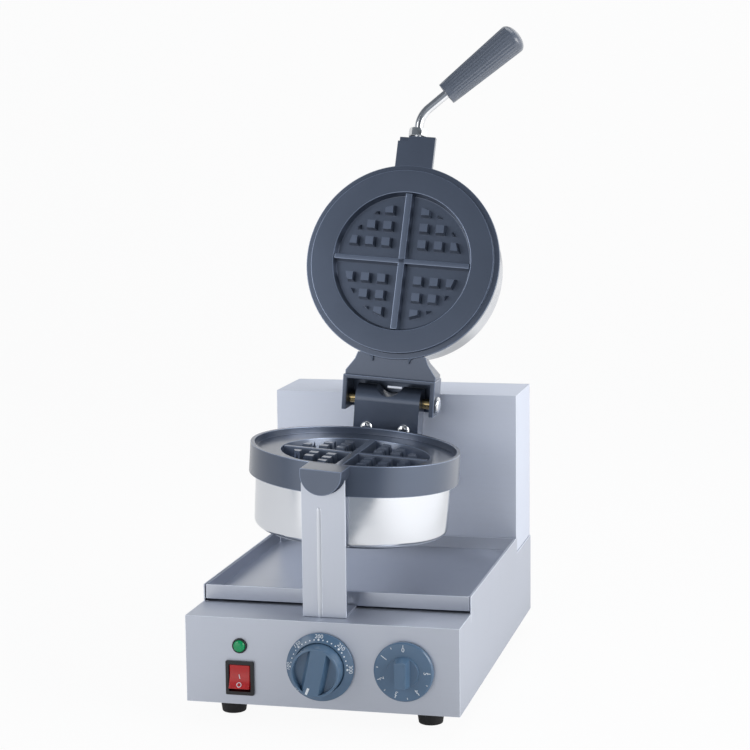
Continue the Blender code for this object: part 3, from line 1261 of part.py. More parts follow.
def build():
    """Make every piece in its frame."""
    base = empty("base_frame", None, Matrix.Translation((0, FRONT_Y, FOOT_HEIGHT)))
    axis = Matrix.Translation((0, 0, AXIS_HEIGHT)) @ Matrix.Rotation(HEAD_ROLL, 4, "Y")
    head = empty("head_axis", base, axis)
    hinge = Matrix.Translation((0, HINGE_Y, HINGE_HEIGHT)) @ Matrix.Rotation(-LID_OPEN, 4, "X")
    lid = empty("lid_hinge", head, hinge)
    bpy.context.view_layer.update()
    for make in (base_housing, bottom_plate, feet, back_box, rear_panel, drip_tray, front_support,
                 switch, lamp, thermostat, timer, rear_fittings, bearing):
        make(base)
    for make in (lower_plate, hinge_block, block_screws, rotary_shaft):
        make(head)
    lower = Matrix.Translation((0, PLATE_CENTRE, 0))
    pot("lower_pot", head, lower, -RIM_SKIRT - GAP)
    pot_bolt("lower_pot_bolt", head, lower)
    heater("lower_heater", head, lower, -PLATE_UNDERSIDE)
    for make in (upper_plate, hinge_hardware, handle):
        make(lid)
    pot("upper_pot", lid, lid_face(), -UPPER_DISC_STEP - UPPER_FLANGE - GAP)
    pot_bolt("upper_pot_bolt", lid, lid_face())
    heater("upper_heater", lid, lid_face(), -UPPER_BACK)


clear_scene()
shop = Shop()
build()
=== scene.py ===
"""Looks of a countertop waffle baker with one round head, built around its packed CAD frame.

Lengths are in metres. Places come from the frame: the base stands level, the head is rolled about the
rotary shaft, and the lid stands open on the hinge. The head's local axes are x to the right, y to the
back and z up; a casting's own axes have z out of its baking face.
"""

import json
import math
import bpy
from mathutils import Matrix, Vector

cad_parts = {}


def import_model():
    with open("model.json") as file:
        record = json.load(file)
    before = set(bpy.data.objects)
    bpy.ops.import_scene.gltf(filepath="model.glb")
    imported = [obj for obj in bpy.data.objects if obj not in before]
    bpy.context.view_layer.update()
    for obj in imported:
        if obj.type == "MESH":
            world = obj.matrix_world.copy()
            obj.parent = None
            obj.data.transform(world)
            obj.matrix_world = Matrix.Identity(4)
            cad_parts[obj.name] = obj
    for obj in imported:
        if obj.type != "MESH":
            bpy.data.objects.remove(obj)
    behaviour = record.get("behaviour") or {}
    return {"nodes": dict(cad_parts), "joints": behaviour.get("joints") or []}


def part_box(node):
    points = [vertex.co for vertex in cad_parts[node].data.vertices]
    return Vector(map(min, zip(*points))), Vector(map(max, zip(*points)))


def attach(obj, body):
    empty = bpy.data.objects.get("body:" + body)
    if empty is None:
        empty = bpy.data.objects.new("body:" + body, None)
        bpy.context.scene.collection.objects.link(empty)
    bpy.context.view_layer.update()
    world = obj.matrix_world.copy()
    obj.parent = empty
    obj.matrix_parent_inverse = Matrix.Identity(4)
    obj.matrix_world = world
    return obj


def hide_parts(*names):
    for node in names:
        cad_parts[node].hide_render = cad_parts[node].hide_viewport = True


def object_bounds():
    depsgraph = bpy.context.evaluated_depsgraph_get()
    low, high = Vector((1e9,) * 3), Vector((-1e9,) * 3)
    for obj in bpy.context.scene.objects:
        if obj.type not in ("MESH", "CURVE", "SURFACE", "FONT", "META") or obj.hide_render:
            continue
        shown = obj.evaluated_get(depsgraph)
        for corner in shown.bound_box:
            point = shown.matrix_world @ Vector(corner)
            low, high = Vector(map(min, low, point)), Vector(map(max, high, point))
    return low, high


bl_info = {
    "name": "Waffle baker",
    "version": (1, 0, 0),
    "blender": (4, 5, 0),
    "location": "3D View > Sidebar > Baker",
    "description": "Builds the visible pieces and finishes of a countertop waffle baker",
    "category": "Object",
}

import bmesh
import bpy
from bpy.props import FloatProperty, FloatVectorProperty, IntProperty, PointerProperty
from mathutils import Matrix, Vector

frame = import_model()
CAD_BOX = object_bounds()

# Places, read from the frame

JOINTS = {joint["name"]: joint for joint in frame["joints"]}
BASE_LOW, BASE_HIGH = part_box("base_housing")
FRONT_Y = BASE_LOW[1]
FLOOR_HEIGHT = CAD_BOX[0][2]
BASE = Matrix.Translation((0, FRONT_Y, BASE_LOW[2]))
AXIS_POINT = Vector(JOINTS["head_turn"]["pos_m"])
HINGE_POINT = Vector(JOINTS["lid_hinge"]["pos_m"])
HINGE_AXIS = Vector(JOINTS["lid_hinge"]["axis"])
HEAD_ROLL = math.atan2(-HINGE_AXIS.z, HINGE_AXIS.x)
LID_OPEN = math.radians(105.35)
LID_FACE_DROP = 0.00425
AXIS_LINE = Matrix.Translation((0, 0, AXIS_POINT.z)) @ Matrix.Rotation(HEAD_ROLL, 4, "Y")
HEAD = AXIS_LINE @ Matrix.Translation((0, AXIS_POINT.y, 0))
HINGE_LOCAL = HEAD.inverted() @ HINGE_POINT
HINGE = HEAD @ Matrix.Translation(HINGE_LOCAL)
LID = HINGE @ Matrix.Rotation(-LID_OPEN, 4, "X")
LID_FACE = (LID @ Matrix.Translation((0, -HINGE_LOCAL.y, -LID_FACE_DROP - HINGE_LOCAL.z))
            @ Matrix.Rotation(math.pi, 4, "X"))
QUARTER = math.pi / 2
FACING = Matrix.Rotation(QUARTER, 4, "X")
MERGE = 0.00001
SEAT = 0.0003
# Face attribute for painted highlights: full on softened outer edges, a share on the tops of bars and pegs
PAINTED_HIGHLIGHT = "worn"
TOP_HIGHLIGHT = 0.3
FACE_ON = 0.95
SHARP = math.radians(38)
NEARLY_STRAIGHT = math.radians(160)
SIDE_SHARE = 0.48


# Nodes

class Value:
    """A node's output; Python's operators on it add Math nodes to its tree."""

    def __init__(self, nodes, socket):
        self.nodes = nodes
        self.socket = socket

    def maths(self, operation, *others):
        """One Math node on this value and the others."""
        inputs = dict(enumerate((self, *others)))
        return self.nodes.node("ShaderNodeMath", {"operation": operation}, inputs)

    def __add__(self, other):
        return self.maths("ADD", other)

    __radd__ = __add__

    def __mul__(self, other):
        return self.maths("MULTIPLY", other)

    __rmul__ = __mul__

    def __sub__(self, other):
        return self.maths("SUBTRACT", other)

    def __rsub__(self, other):
        return self.nodes.node("ShaderNodeMath", {"operation": "SUBTRACT"}, {0: other, 1: self})

    def __truediv__(self, other):
        return self.maths("DIVIDE", other)

    def rise(self, low, high):
        """0 under low and 1 over high, with a smooth step between."""
        settings = {"interpolation_type": "SMOOTHSTEP"}
        inputs = {"Value": self, "From Min": low, "From Max": high}
        return self.nodes.node("ShaderNodeMapRange", settings, inputs)

    def band(self, up, down):
        """1 between a step up and a step down, and 0 outside them."""
        return self.rise(*up) * (1.0 - self.rise(*down))


class Nodes:
    """A node tree that is being built."""

    def node(self, kind, settings=(), inputs=(), output=0):
        """Add one node: its settings first, then the values or links of its sockets."""
        made = self.tree.nodes.new(kind)
        for name, value in dict(settings).items():
            setattr(made, name, value)
        for name, value in dict(inputs).items():
            self.feed(made.inputs[name], value)
        return Value(self, made.outputs[output])

    def feed(self, socket, value):
        """Link a value to a socket, or set a plain number, colour or datablock on it."""
        if isinstance(value, Value):
            self.tree.links.new(value.socket, socket)
        else:
            socket.default_value = value

    def parts(self, vector):
        """The three numbers of a vector."""
        split = self.node("ShaderNodeSeparateXYZ", inputs={0: vector}).socket.node
        return [Value(self, output) for output in split.outputs]


def shade(tint, share=1.0):
    """A share of a tint, at most white, with full alpha."""
    return (*(min(1.0, share * part) for part in tint), 1)


class Finish(Nodes):
    """A procedural material; plain settings go on its shader's own sockets."""

    def __init__(self, name, **plain):
        self.material = bpy.data.materials.new(name)
        self.material.use_nodes = True
        self.tree = self.material.node_tree
        self.shader = self.tree.nodes["Principled BSDF"]
        self.coordinates = self.node("ShaderNodeTexCoord", output="Object")
        for name, value in plain.items():
            self.shader.inputs[name.replace("_", " ").title().replace("Ior", "IOR")].default_value = value

    def noise(self, scale, detail=3.0, stretch=(1, 1, 1), roughness=0.5):
        """Noise from 0 to 1 on Object coordinates, finer along an axis by its stretch."""
        place = self.node("ShaderNodeMapping", inputs={"Vector": self.coordinates, "Scale": stretch})
        inputs = {"Vector": place, "Scale": scale, "Detail": detail, "Roughness": roughness}
        return self.node("ShaderNodeTexNoise", inputs=inputs)

    def mix(self, factor, first, second):
        """A colour between two others."""
        settings = {"data_type": "RGBA"}
        return self.node("ShaderNodeMix", settings, {0: factor, 6: first, 7: second}, 2)

    def tones(self, factor, tint, dark, pale=1.0):
        """A colour between a darker and a paler share of a tint."""
        return self.mix(factor, shade(tint, dark), shade(tint, pale))

    def worn(self):
        """1 on the softened edges of a piece and 0 elsewhere."""
        return self.node("ShaderNodeAttribute", {"attribute_name": PAINTED_HIGHLIGHT}, output="Fac")

    def paint(self, socket, value):
        """Feed one of the shader's sockets."""
        self.feed(self.shader.inputs[socket], value)

    def bump(self, height, distance, strength=1.0):
        """Let a height in metres times the distance stand on the surface."""
        inputs = {"Height": height, "Distance": distance, "Strength": strength}
        self.paint("Normal", self.node("ShaderNodeBump", inputs=inputs))


class Recipe(Nodes):
    """A Geometry Nodes tree with named sizes, which is run once and leaves a plain mesh."""

    kinds = {float: "NodeSocketFloat", int: "NodeSocketInt", bpy.types.Object: "NodeSocketObject",
             bpy.types.Material: "NodeSocketMaterial"}

    def __init__(self, name, finish, **sizes):
        self.tree = bpy.data.node_groups.new(name, "GeometryNodeTree")
        self.tree.interface.new_socket("Geometry", in_out="OUTPUT", socket_type="NodeSocketGeometry")
        self.tree.interface.new_socket("Geometry", in_out="INPUT", socket_type="NodeSocketGeometry")
        self.values = {"Finish": finish}
        self.values.update({key.replace("_", " ").capitalize(): value for key, value in sizes.items()})
        for key, value in self.values.items():
            self.tree.interface.new_socket(key, in_out="INPUT", socket_type=self.kinds[type(value)])
        self.entry = self.tree.nodes.new("NodeGroupInput")

    def step(self, kind, **inputs):
        """Add one Geometry Nodes step; underscores stand for the spaces in its sockets' names."""
        named = {name.replace("_", " "): value for name, value in inputs.items()}
        return self.node("GeometryNode" + kind, inputs=named)

    def __getitem__(self, name):
        """A named input of the tree."""
        return Value(self, self.entry.outputs[name])

    def vector(self, x=0.0, y=0.0, z=0.0):
        """Three numbers as a vector."""
        return self.node("ShaderNodeCombineXYZ", inputs={0: x, 1: y, 2: z})

    def around(self, shape, turn, reach, height, scale, rotation):
        """The shape at each of Count points about z: its turn clockwise from y, and how far out."""
        spot = self.vector(turn.maths("SINE") * reach, turn.maths("COSINE") * reach, height)
        points = self.step("MeshLine", Count=self["Count"], Offset=(0, 0, 0))
        placed = self.step("SetPosition", Geometry=points, Position=spot)
        inputs = {"Points": placed, "Instance": shape, "Scale": scale, "Rotation": rotation}
        return self.node("GeometryNodeInstanceOnPoints", inputs=inputs)

    def grow(self, name, shape, place=Matrix(), points=None):
        """Run the tree on the points, if there are any, and return the result as a plain mesh object."""
        solid = self.node("GeometryNodeRealizeInstances", inputs={0: shape})
        dressed = self.step("SetMaterial", Geometry=solid, Material=self["Finish"])
        leave = self.tree.nodes.new("NodeGroupOutput")
        self.tree.links.new(dressed.socket, leave.inputs[0])
        guide = linked(name, points or bpy.data.meshes.new(name))
        step = guide.modifiers.new("recipe", "NODES")
        step.node_group = self.tree
        for socket in self.tree.interface.items_tree:
            if socket.name in self.values:
                step[socket.identifier] = self.values[socket.name]
        settle(guide)
        guide.data.transform(place)
        return guide


# Meshes

def linked(name, data):
    """A new object in the scene."""
    made = bpy.data.objects.new(name, data)
    bpy.context.scene.collection.objects.link(made)
    return made


def mesh_of(name, solid):
    """Mesh data from a bmesh, which is thrown away."""
    data = bpy.data.meshes.new(name)
    solid.to_mesh(data)
    solid.free()
    return data


def settle(piece):
    """Turn what a piece's modifiers show into its plain mesh."""
    bpy.context.view_layer.update()
    shown = piece.evaluated_get(bpy.context.evaluated_depsgraph_get())
    data = bpy.data.meshes.new_from_object(shown)
    piece.modifiers.clear()
    old = piece.data
    piece.data = data
    bpy.data.meshes.remove(old)
    data.name = piece.name


def shaded(piece, angle=math.radians(32)):
    """Smooth shading that stops at edges sharper than the angle."""
    piece.data.shade_smooth()
    piece.data.set_sharp_from_angle(angle=angle)
    return piece


def make(name, solid, finish=None, place=Matrix(), bevel=0.0, segments=2):
    """An object at the origin from a bmesh, moved to its place, with its edges softened by the bevel."""
    solid.transform(place)
    bmesh.ops.remove_doubles(solid, verts=solid.verts, dist=MERGE)
    bmesh.ops.recalc_face_normals(solid, faces=solid.faces)
    made = linked(name, mesh_of(name, solid))
    if finish:
        made.data.materials.append(shelf.get(finish))
    shaded(made)
    return soften(made, bevel, segments) if bevel else made


def mark_worn(piece):
    """Note on every face whether it belongs to an outer corner that a bevel has just made."""
    solid = bmesh.new()
    solid.from_mesh(piece.data)
    values = []
    for face in solid.faces:
        middle = face.calc_center_median()
        around = sum(face.normal.dot(other.calc_center_median() - middle) for edge in face.edges
                     for other in edge.link_faces if other is not face)
        values.append(float(face.material_index == 1 and around < 0))
    solid.free()
    piece.data.attributes.new(PAINTED_HIGHLIGHT, "FLOAT", "FACE").data.foreach_set("value", values)


def soften(piece, width, segments=2):
    """Bevel a piece's sharp edges, mark their faces as worn and keep the result as its mesh."""
    finish = piece.data.materials[0]
    piece.data.materials.clear()
    for _ in range(2):
        piece.data.materials.append(finish)
    step = piece.modifiers.new("soft edges", "BEVEL")
    step.material = 1
    step.width = width
    step.segments = segments
    step.limit_method = "ANGLE"
    step.angle_limit = SHARP
    step.use_clamp_overlap = True
    settle(piece)
    mark_worn(piece)
    piece.data.materials.pop()
    shaded(piece)
    even = piece.modifiers.new("flat faces", "WEIGHTED_NORMAL")
    even.weight = 100
    even.keep_sharp = True
    settle(piece)
    return piece


def trim(piece, tools, operation="DIFFERENCE"):
    """Run one exact Boolean for each tool, keep the piece's own finish and throw the tools away."""
    finish = list(piece.data.materials)[:1]
    for tool in tools:
        step = piece.modifiers.new("trim", "BOOLEAN")
        step.operation = operation
        step.solver = "EXACT"
        step.object = tool
    settle(piece)
    if finish:
        piece.data.materials.clear()
        piece.data.materials.append(finish[0])
    for tool in tools:
        bpy.data.objects.remove(tool, do_unlink=True)
    return piece


def merged(name, pieces):
    """Several objects as one, under a new name."""
    with bpy.context.temp_override(active_object=pieces[0], selected_editable_objects=pieces):
        bpy.ops.object.join()
    pieces[0].name = name
    pieces[0].data.name = name
    return pieces[0]


def softened(name, node, width, finish):
    """A copy of a CAD node with its loose triangles merged, its flats rebuilt and its edges softened."""
    solid = bmesh.new()
    solid.from_mesh(frame["nodes"][node].data)
    bmesh.ops.remove_doubles(solid, verts=solid.verts, dist=MERGE)
    bmesh.ops.dissolve_limit(solid, angle_limit=math.radians(1), verts=solid.verts, edges=solid.edges)
    return make(name, solid, finish, bevel=width, segments=3)


def fit(piece, body, slot, *nodes):
    """Hang a finished piece on its body, with its slot and the CAD nodes that it stands for."""
    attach(piece, body)
    if nodes:
        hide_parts(*nodes)
    return piece


def rounded(points, radius, steps=4, closed=False):
    """An outline with a curve in place of each real corner, where its sides leave room."""
    result = []
    for index, point in enumerate(points):
        here = Vector(point)
        back = Vector(points[index - 1]) - here
        on = Vector(points[(index + 1) % len(points)]) - here
        ends = not closed and index in (0, len(points) - 1)
        if ends or back.angle(on, math.pi) > NEARLY_STRAIGHT:
            result.append(here)
            continue
        reach = min(radius, SIDE_SHARE * back.length, SIDE_SHARE * on.length)
        start = here + back.normalized() * reach
        stop = here + on.normalized() * reach
        for step in range(steps + 1):
            t = step / steps
            result.append((1 - t) ** 2 * start + 2 * t * (1 - t) * here + t * t * stop)
    return result


def arc(radius, start, stop, steps, centre=(0, 0)):
    """Points on an arc between two angles."""
    turns = [start + (stop - start) * step / steps for step in range(steps + 1)]
    return [(centre[0] + radius * math.cos(turn), centre[1] + radius * math.sin(turn)) for turn in turns]


def circle(radius, sides, centre=(0, 0)):
    """Corners of a regular outline with its first corner on x."""
    return arc(radius, 0, math.tau * (sides - 1) / sides, sides - 1, centre)


def dome(radius, rise, foot, steps):
    """The profile of a dome from its top down to its edge at the height of its foot."""
    turns = [QUARTER * step / steps for step in range(steps + 1)]
    return [(radius * math.sin(turn), foot + rise * math.cos(turn)) for turn in turns]


def lathe(profile, steps, closed=False):
    """A bmesh swept about z by a profile of (radius, height), its poles single vertices."""
    solid = bmesh.new()
    rings = []
    for radius, height in profile:
        count = steps if radius > MERGE else 1
        turns = [math.tau * step / steps for step in range(count)]
        rings.append([solid.verts.new((radius * math.cos(t), radius * math.sin(t), height)) for t in turns])
    pairs = list(zip(rings, rings[1:]))
    if closed:
        pairs.append((rings[-1], rings[0]))
    for first, second in pairs:
        if len(first) == len(second) == 1:
            continue
        for step in range(steps):
            on = (step + 1) % steps
            corners = [first[step % len(first)], first[on % len(first)],
                       second[on % len(second)], second[step % len(second)]]
            solid.faces.new(list(dict.fromkeys(corners)))
    return solid


TURNED = {
    "dial": (0.0005, 160),
    "thermostat_knob": (0.0012, 128),
    "timer_knob": (0.0004, 160),
    "timer_hub": (0.0008, 96),
    "lamp_ring": (0.0003, 64),
    "bush": (0.0002, 48),
    "foot": (0.0012, 64),
    "gland_cap": (0.0005, 96),
}


def turned(name, outline, finish, place=Matrix(), closed=True):
    """A lathe piece whose profile has rounded corners: TURNED holds their radius and the facets."""
    corner, steps = TURNED[name]
    return make(name, lathe(rounded(outline, corner, closed=closed), steps, closed), finish, place)


def prism(points, low, high):
    """A bmesh of a flat outline in xy between two heights."""
    solid = bmesh.new()
    bottom = [solid.verts.new((*point, low)) for point in points]
    top = [solid.verts.new((*point, high)) for point in points]
    solid.faces.new(bottom)
    solid.faces.new(top)
    for step in range(len(points)):
        on = (step + 1) % len(points)
        solid.faces.new((bottom[step], bottom[on], top[on], top[step]))
    return solid


def block(low, high):
    """A bmesh of a block between two corners."""
    corners = [(low[0], low[1]), (high[0], low[1]), (high[0], high[1]), (low[0], high[1])]
    return prism(corners, low[2], high[2])


def shift(x=0, y=0, z=0):
    """A translation."""
    return Matrix.Translation((x, y, z))


def aimed(point, axis):
    """A place at a point whose z is along the axis."""
    turn = Vector((0, 0, 1)).rotation_difference(Vector(axis)).to_matrix().to_4x4()
    return Matrix.Translation(point) @ turn


# Sizes and colours that a user would change

def length(name, description, default):
    """A length property in metres."""
    return FloatProperty(name=name, description=description, default=default, subtype="DISTANCE",
                         unit="LENGTH")


def colour(name, description, default):
    """A linear colour property."""
    return FloatVectorProperty(name=name, description=description, default=default, subtype="COLOR",
                               size=3, min=0, max=1)


class SheetSizes(bpy.types.PropertyGroup):
    """Sizes of the folded sheets."""

    bend: length("Bend", "Outer radius of a folded edge", 0.0011)
    bead_width: length("Bead width", "Width of the weld bead on the post", 0.0046)
    bead_low: length("Bead start", "Height of the bead's lower end over the base's edge", 0.082)
    bead_high: length("Bead end", "Height of the bead's upper end over the base's edge", 0.1745)


class CastingSizes(bpy.types.PropertyGroup):
    """Sizes of the two castings that bake."""

    radius: length("Radius", "Outside of the lower casting", 0.0985)
    rim_wall: length("Rim wall", "Thickness of the lower casting's rim", 0.004)
    rim_depth: length("Rim depth", "From the rim's edge to the ring inside it", 0.0065)
    skirt: length("Skirt", "Height of the lower casting's outer wall", 0.0285)
    lid_radius: length("Lid radius", "Outside of the upper casting", 0.0982)
    disc_radius: length("Disc radius", "The raised disc of the upper casting", 0.0925)
    disc_step: length("Disc step", "From the raised disc down to the flange around it", 0.0046)
    flange: length("Flange", "Thickness of the upper casting's flange", 0.0045)
    recess_radius: length("Recess radius", "The round recess for the batter", 0.0697)
    recess_depth: length("Recess depth", "Depth of the recess", 0.0092)
    recess_draft: length("Recess draft", "How far the recess's wall leans in", 0.0020)
    wide_bar: length("Wide bar", "Width of the bar that runs to the handle", 0.0065)
    narrow_bar: length("Narrow bar", "Width of the bar across", 0.005)
    peg: length("Peg", "Width of a peg's top", 0.0080)
    peg_first: length("First peg", "From the middle to the first peg's middle", 0.0184)
    peg_pitch: length("Peg pitch", "From peg to peg", 0.0167)
    peg_circle: length("Peg circle", "The circle that trims the outer pegs", 0.0572)
    peg_draft: length("Peg draft", "How far a peg's side leans out at its foot", 0.0014)


class PotSizes(bpy.types.PropertyGroup):
    """Sizes of the drum covers behind the castings."""

    radius: length("Radius", "Radius at the open end", 0.092)
    taper: length("Taper", "How much smaller the closed end is", 0.001)
    depth: length("Depth", "From the casting's edge to the closed end", 0.078)
    corner: length("Corner", "Radius of the rolled corner", 0.006)
    sheet: length("Sheet", "Thickness of the drum", 0.0008)


class KnobSizes(bpy.types.PropertyGroup):
    """Sizes of the two knobs and of their marks."""

    dial_radius: length("Dial radius", "The thermostat's fixed dial", 0.0308)
    knob_radius: length("Knob radius", "The thermostat's knob at its foot", 0.0236)
    knob_reach: length("Knob reach", "How far the thermostat's knob stands out", 0.0184)
    timer_radius: length("Timer radius", "The timer's disc", 0.02675)
    timer_reach: length("Timer reach", "How far the timer's bar stands out", 0.018)
    digit: length("Digit", "Height of the numbers", 0.0036)
    dots: IntProperty(name="Dots", description="Dots on the thermostat's scale", default=26, min=2)


class GripSizes(bpy.types.PropertyGroup):
    """Sizes of the handle's grip and rod."""

    length: length("Length", "Length of the grip", 0.0935)
    narrow: length("Narrow radius", "Radius at the rod's end", 0.01175)
    wide: length("Wide radius", "Radius at the far end", 0.01535)
    flutes: IntProperty(name="Flutes", description="Grooves around the grip", default=26, min=3)
    flute_depth: length("Flute depth", "Depth of a groove", 0.0005)
    rod: length("Rod radius", "Radius of the steel rod", 0.0045)


class Colours(bpy.types.PropertyGroup):
    """Colours of the finishes."""

    steel: colour("Steel", "Folded sheets", (0.62, 0.655, 0.735))
    coating: colour("Coating", "Non-stick coating of the castings", (0.100, 0.125, 0.178))
    knob: colour("Knobs", "Slate plastic of the knobs", (0.090, 0.165, 0.265))
    marks: colour("Marks", "Printed numbers and dots", (0.80, 0.84, 0.88))
    rocker: colour("Rocker", "Red plastic of the switch", (0.52, 0.012, 0.014))
    lens: colour("Lens", "Green plastic of the lamp", (0.0, 0.25, 0.085))
    floor: colour("Floor", "Floor and backdrop", (0.86, 0.86, 0.865))


# Finishes

def brushed(name, tint, grain=(1, 1, 1), roughness=0.44, patches=0.06, scale=260.0):
    """Sheet steel with a fine grain along one axis, soft patches and faint handling marks."""
    made = Finish(name, metallic=1.0)
    lines = made.noise(scale, 4.0, grain, 0.65)
    clouds = made.noise(9.0, 3.0)
    smears = made.noise(38.0, 4.0, (1, 1, 0.35)).rise(0.56, 0.74)
    sheen = made.tones(lines * 0.55 + clouds * 0.45, tint, 0.90)
    # Softened edges are painted paler than the sheet: a painted highlight.
    made.paint("Base Color", made.mix(made.worn(), sheen, shade(tint, 1.4)))
    made.paint("Roughness", lines * 0.10 + clouds * patches + smears * 0.05 + (roughness - 0.06))
    made.bump(lines, 0.00004, 0.35)
    return made.material


def polished(name, tint, roughness=0.11):
    """A bright drum with turned rings, faint dents and wiped marks."""
    made = Finish(name, metallic=1.0)
    wipes = made.noise(22.0, 4.0, (1, 1, 3.0))
    dents = made.noise(7.0, 1.0)
    made.paint("Base Color", made.tones(wipes, tint, 0.93))
    made.paint("Roughness", wipes.rise(0.35, 0.8) * 0.07 + roughness)
    made.bump(dents, 0.0009, 0.5)
    return made.material


def coated(name, tint, roughness=0.36):
    """Cast aluminium under a dark non-stick coating: fine orange peel and worn, paler edges."""
    made = Finish(name, metallic=0.8, coat_roughness=0.16)
    peel = made.noise(900.0, 2.0)
    clouds = made.noise(14.0, 3.0)
    pale = shade([2.4 * part + 0.02 for part in tint])
    # Edges, and a share of the bar and peg tops, are painted paler: a painted highlight.
    made.paint("Base Color", made.mix(made.worn() * 0.7, made.tones(clouds, tint, 0.88, 1.10), pale))
    made.paint("Roughness", clouds * 0.10 + peel * 0.06 + (roughness - 0.08))
    made.paint("Coat Weight", clouds * 0.2 + 0.70)
    made.bump(peel, 0.00006, 0.5)
    return made.material


def plastic(name, tint, roughness=0.38, texture=0.00003, coat=0.0, scale=1400.0):
    """Moulded plastic with a fine spark-eroded texture and uneven gloss."""
    made = Finish(name, coat_weight=coat, coat_roughness=0.12)
    grain = made.noise(scale, 2.0)
    clouds = made.noise(40.0, 3.0)
    made.paint("Base Color", made.tones(clouds, tint, 0.93, 1.05))
    made.paint("Roughness", clouds * 0.10 + (roughness - 0.05))
    made.bump(grain, texture, 0.6)
    return made.material


def plated(name, tint, roughness=0.20, scale=300.0):
    """Bright plating, slightly uneven, as on screws, nuts and the rod."""
    made = Finish(name, metallic=1.0)
    marks = made.noise(scale, 3.0)
    clouds = made.noise(60.0, 2.0)
    made.paint("Base Color", made.tones(clouds, tint, 0.86))
    made.paint("Roughness", marks * 0.12 + (roughness - 0.06))
    made.bump(marks, 0.00003, 0.4)
    return made.material


def tinted(name, tint, glow):
    """Coloured clear plastic over a pale body, for the rocker and the lamp's lens."""
    made = Finish(name, coat_weight=0.25, coat_roughness=0.08)
    clouds = made.noise(160.0, 3.0)
    for socket in ("Base Color", "Emission Color"):
        made.paint(socket, made.tones(clouds, tint, 0.72))
    made.shader.inputs["Emission Strength"].default_value = glow
    made.paint("Roughness", clouds * 0.10 + 0.20)
    made.bump(clouds, 0.00004, 0.4)
    return made.material


class Shelf:
    """Every finish by its name, made once when it is first asked for."""

    def __init__(self):
        self.made = {}

    def get(self, name):
        """The material of a finish."""
        if name not in self.made:
            self.made[name] = self.mix_up(name)
        return self.made[name]

    def mix_up(self, name):
        """Make a finish from the colours in the panel."""
        tints = bpy.context.scene.baker_colours
        steel = Vector(tints.steel)
        recipes = {
            "sheet": lambda: brushed(name, steel, (0.12, 1.0, 1.6), 0.46),
            # The back box's steel is the sheets' steel made 1.25 times paler: painted light that brightens
            # the box.
            "box": lambda: brushed(name, steel * 1.25, (0.12, 1.0, 1.6), 0.56),
            "tray": lambda: brushed(name, steel * 0.92, (0.5, 0.10, 1.0), 0.29, 0.10),
            "post": lambda: brushed(name, steel, (1.0, 1.0, 0.10), 0.38),
            "pot": lambda: polished(name, (0.80, 0.82, 0.86)),
            "coating": lambda: coated(name, tints.coating),
            "zinc": lambda: plated(name, (0.86, 0.87, 0.88), 0.17),
            "chrome": lambda: plated(name, (0.82, 0.83, 0.85), 0.15, 500.0),
            "shaft": lambda: plated(name, (0.52, 0.53, 0.55), 0.30),
            "heater": lambda: plated(name, (0.30, 0.27, 0.25), 0.48),
            "brass": lambda: plated(name, (0.72, 0.55, 0.27), 0.24),
            "bead": lambda: brushed(name, (0.72, 0.75, 0.81), (1.0, 1.0, 0.3), 0.40),
            "rubber": lambda: plastic(name, (0.012, 0.012, 0.013), 0.62, 0.00008, scale=700.0),
            "grip": lambda: plastic(name, (0.105, 0.125, 0.165), 0.34, 0.000004, 0.8),
            "knob": lambda: plastic(name, tints.knob, 0.31, coat=0.5),
            "marks": lambda: plastic(name, tints.marks, 0.50),
            "black": lambda: plastic(name, (0.016, 0.016, 0.018), 0.40),
            "white": lambda: plastic(name, (0.74, 0.74, 0.71), 0.46),
            # The rocker's glow is painted light: the rocker is no lamp.
            "rocker": lambda: tinted(name, tints.rocker, 0.10),
            "lens": lambda: tinted(name, tints.lens, 0.35),
        }
        return recipes[name]()


shelf = Shelf()


# Castings, pots and hinge

SIDEWAYS = Matrix(((0, 0, 1, 0), (1, 0, 0, 0), (0, 1, 0, 0), (0, 0, 0, 1)))
CENTRE_FROM_FRONT = AXIS_POINT.y - FRONT_Y
JOURNAL_END = 0.0080 - CENTRE_FROM_FRONT
JOURNAL_RADIUS = 0.019
JOURNAL_DROP = 0.004
TAB_FILLET = 0.006
PLATE_FLOOR = 0.005
WALL = 0.001
SKIRT_WALL = 0.0085
NECK = ((-0.025, 0.0935, -0.027), (0.025, HINGE_LOCAL.y + 0.0104, -0.012))
ROUNDING = 0.0007
FACETS = 192
TAB_NOTCH = (0.0108, 0.0056, 0.0070)


def half_round(length):
    """A bmesh of half a journal, flat at y = 0 with its round side below, along z from 0."""
    low = -JOURNAL_DROP
    points = [(JOURNAL_RADIUS, 0), *arc(JOURNAL_RADIUS, 0, -math.pi, 40, (0, low)), (-JOURNAL_RADIUS, 0)]
    return prism(points, 0, length)


def frustum(half_x, half_y, low, high, draft):
    """A bmesh of a block whose sides lean out by the draft towards low."""
    solid = block((-half_x, -half_y, low), (half_x, half_y, high))
    for vert in solid.verts:
        if vert.co.z < (low + high) / 2:
            vert.co.x += math.copysign(draft, vert.co.x)
            vert.co.y += math.copysign(draft, vert.co.y)
    return solid


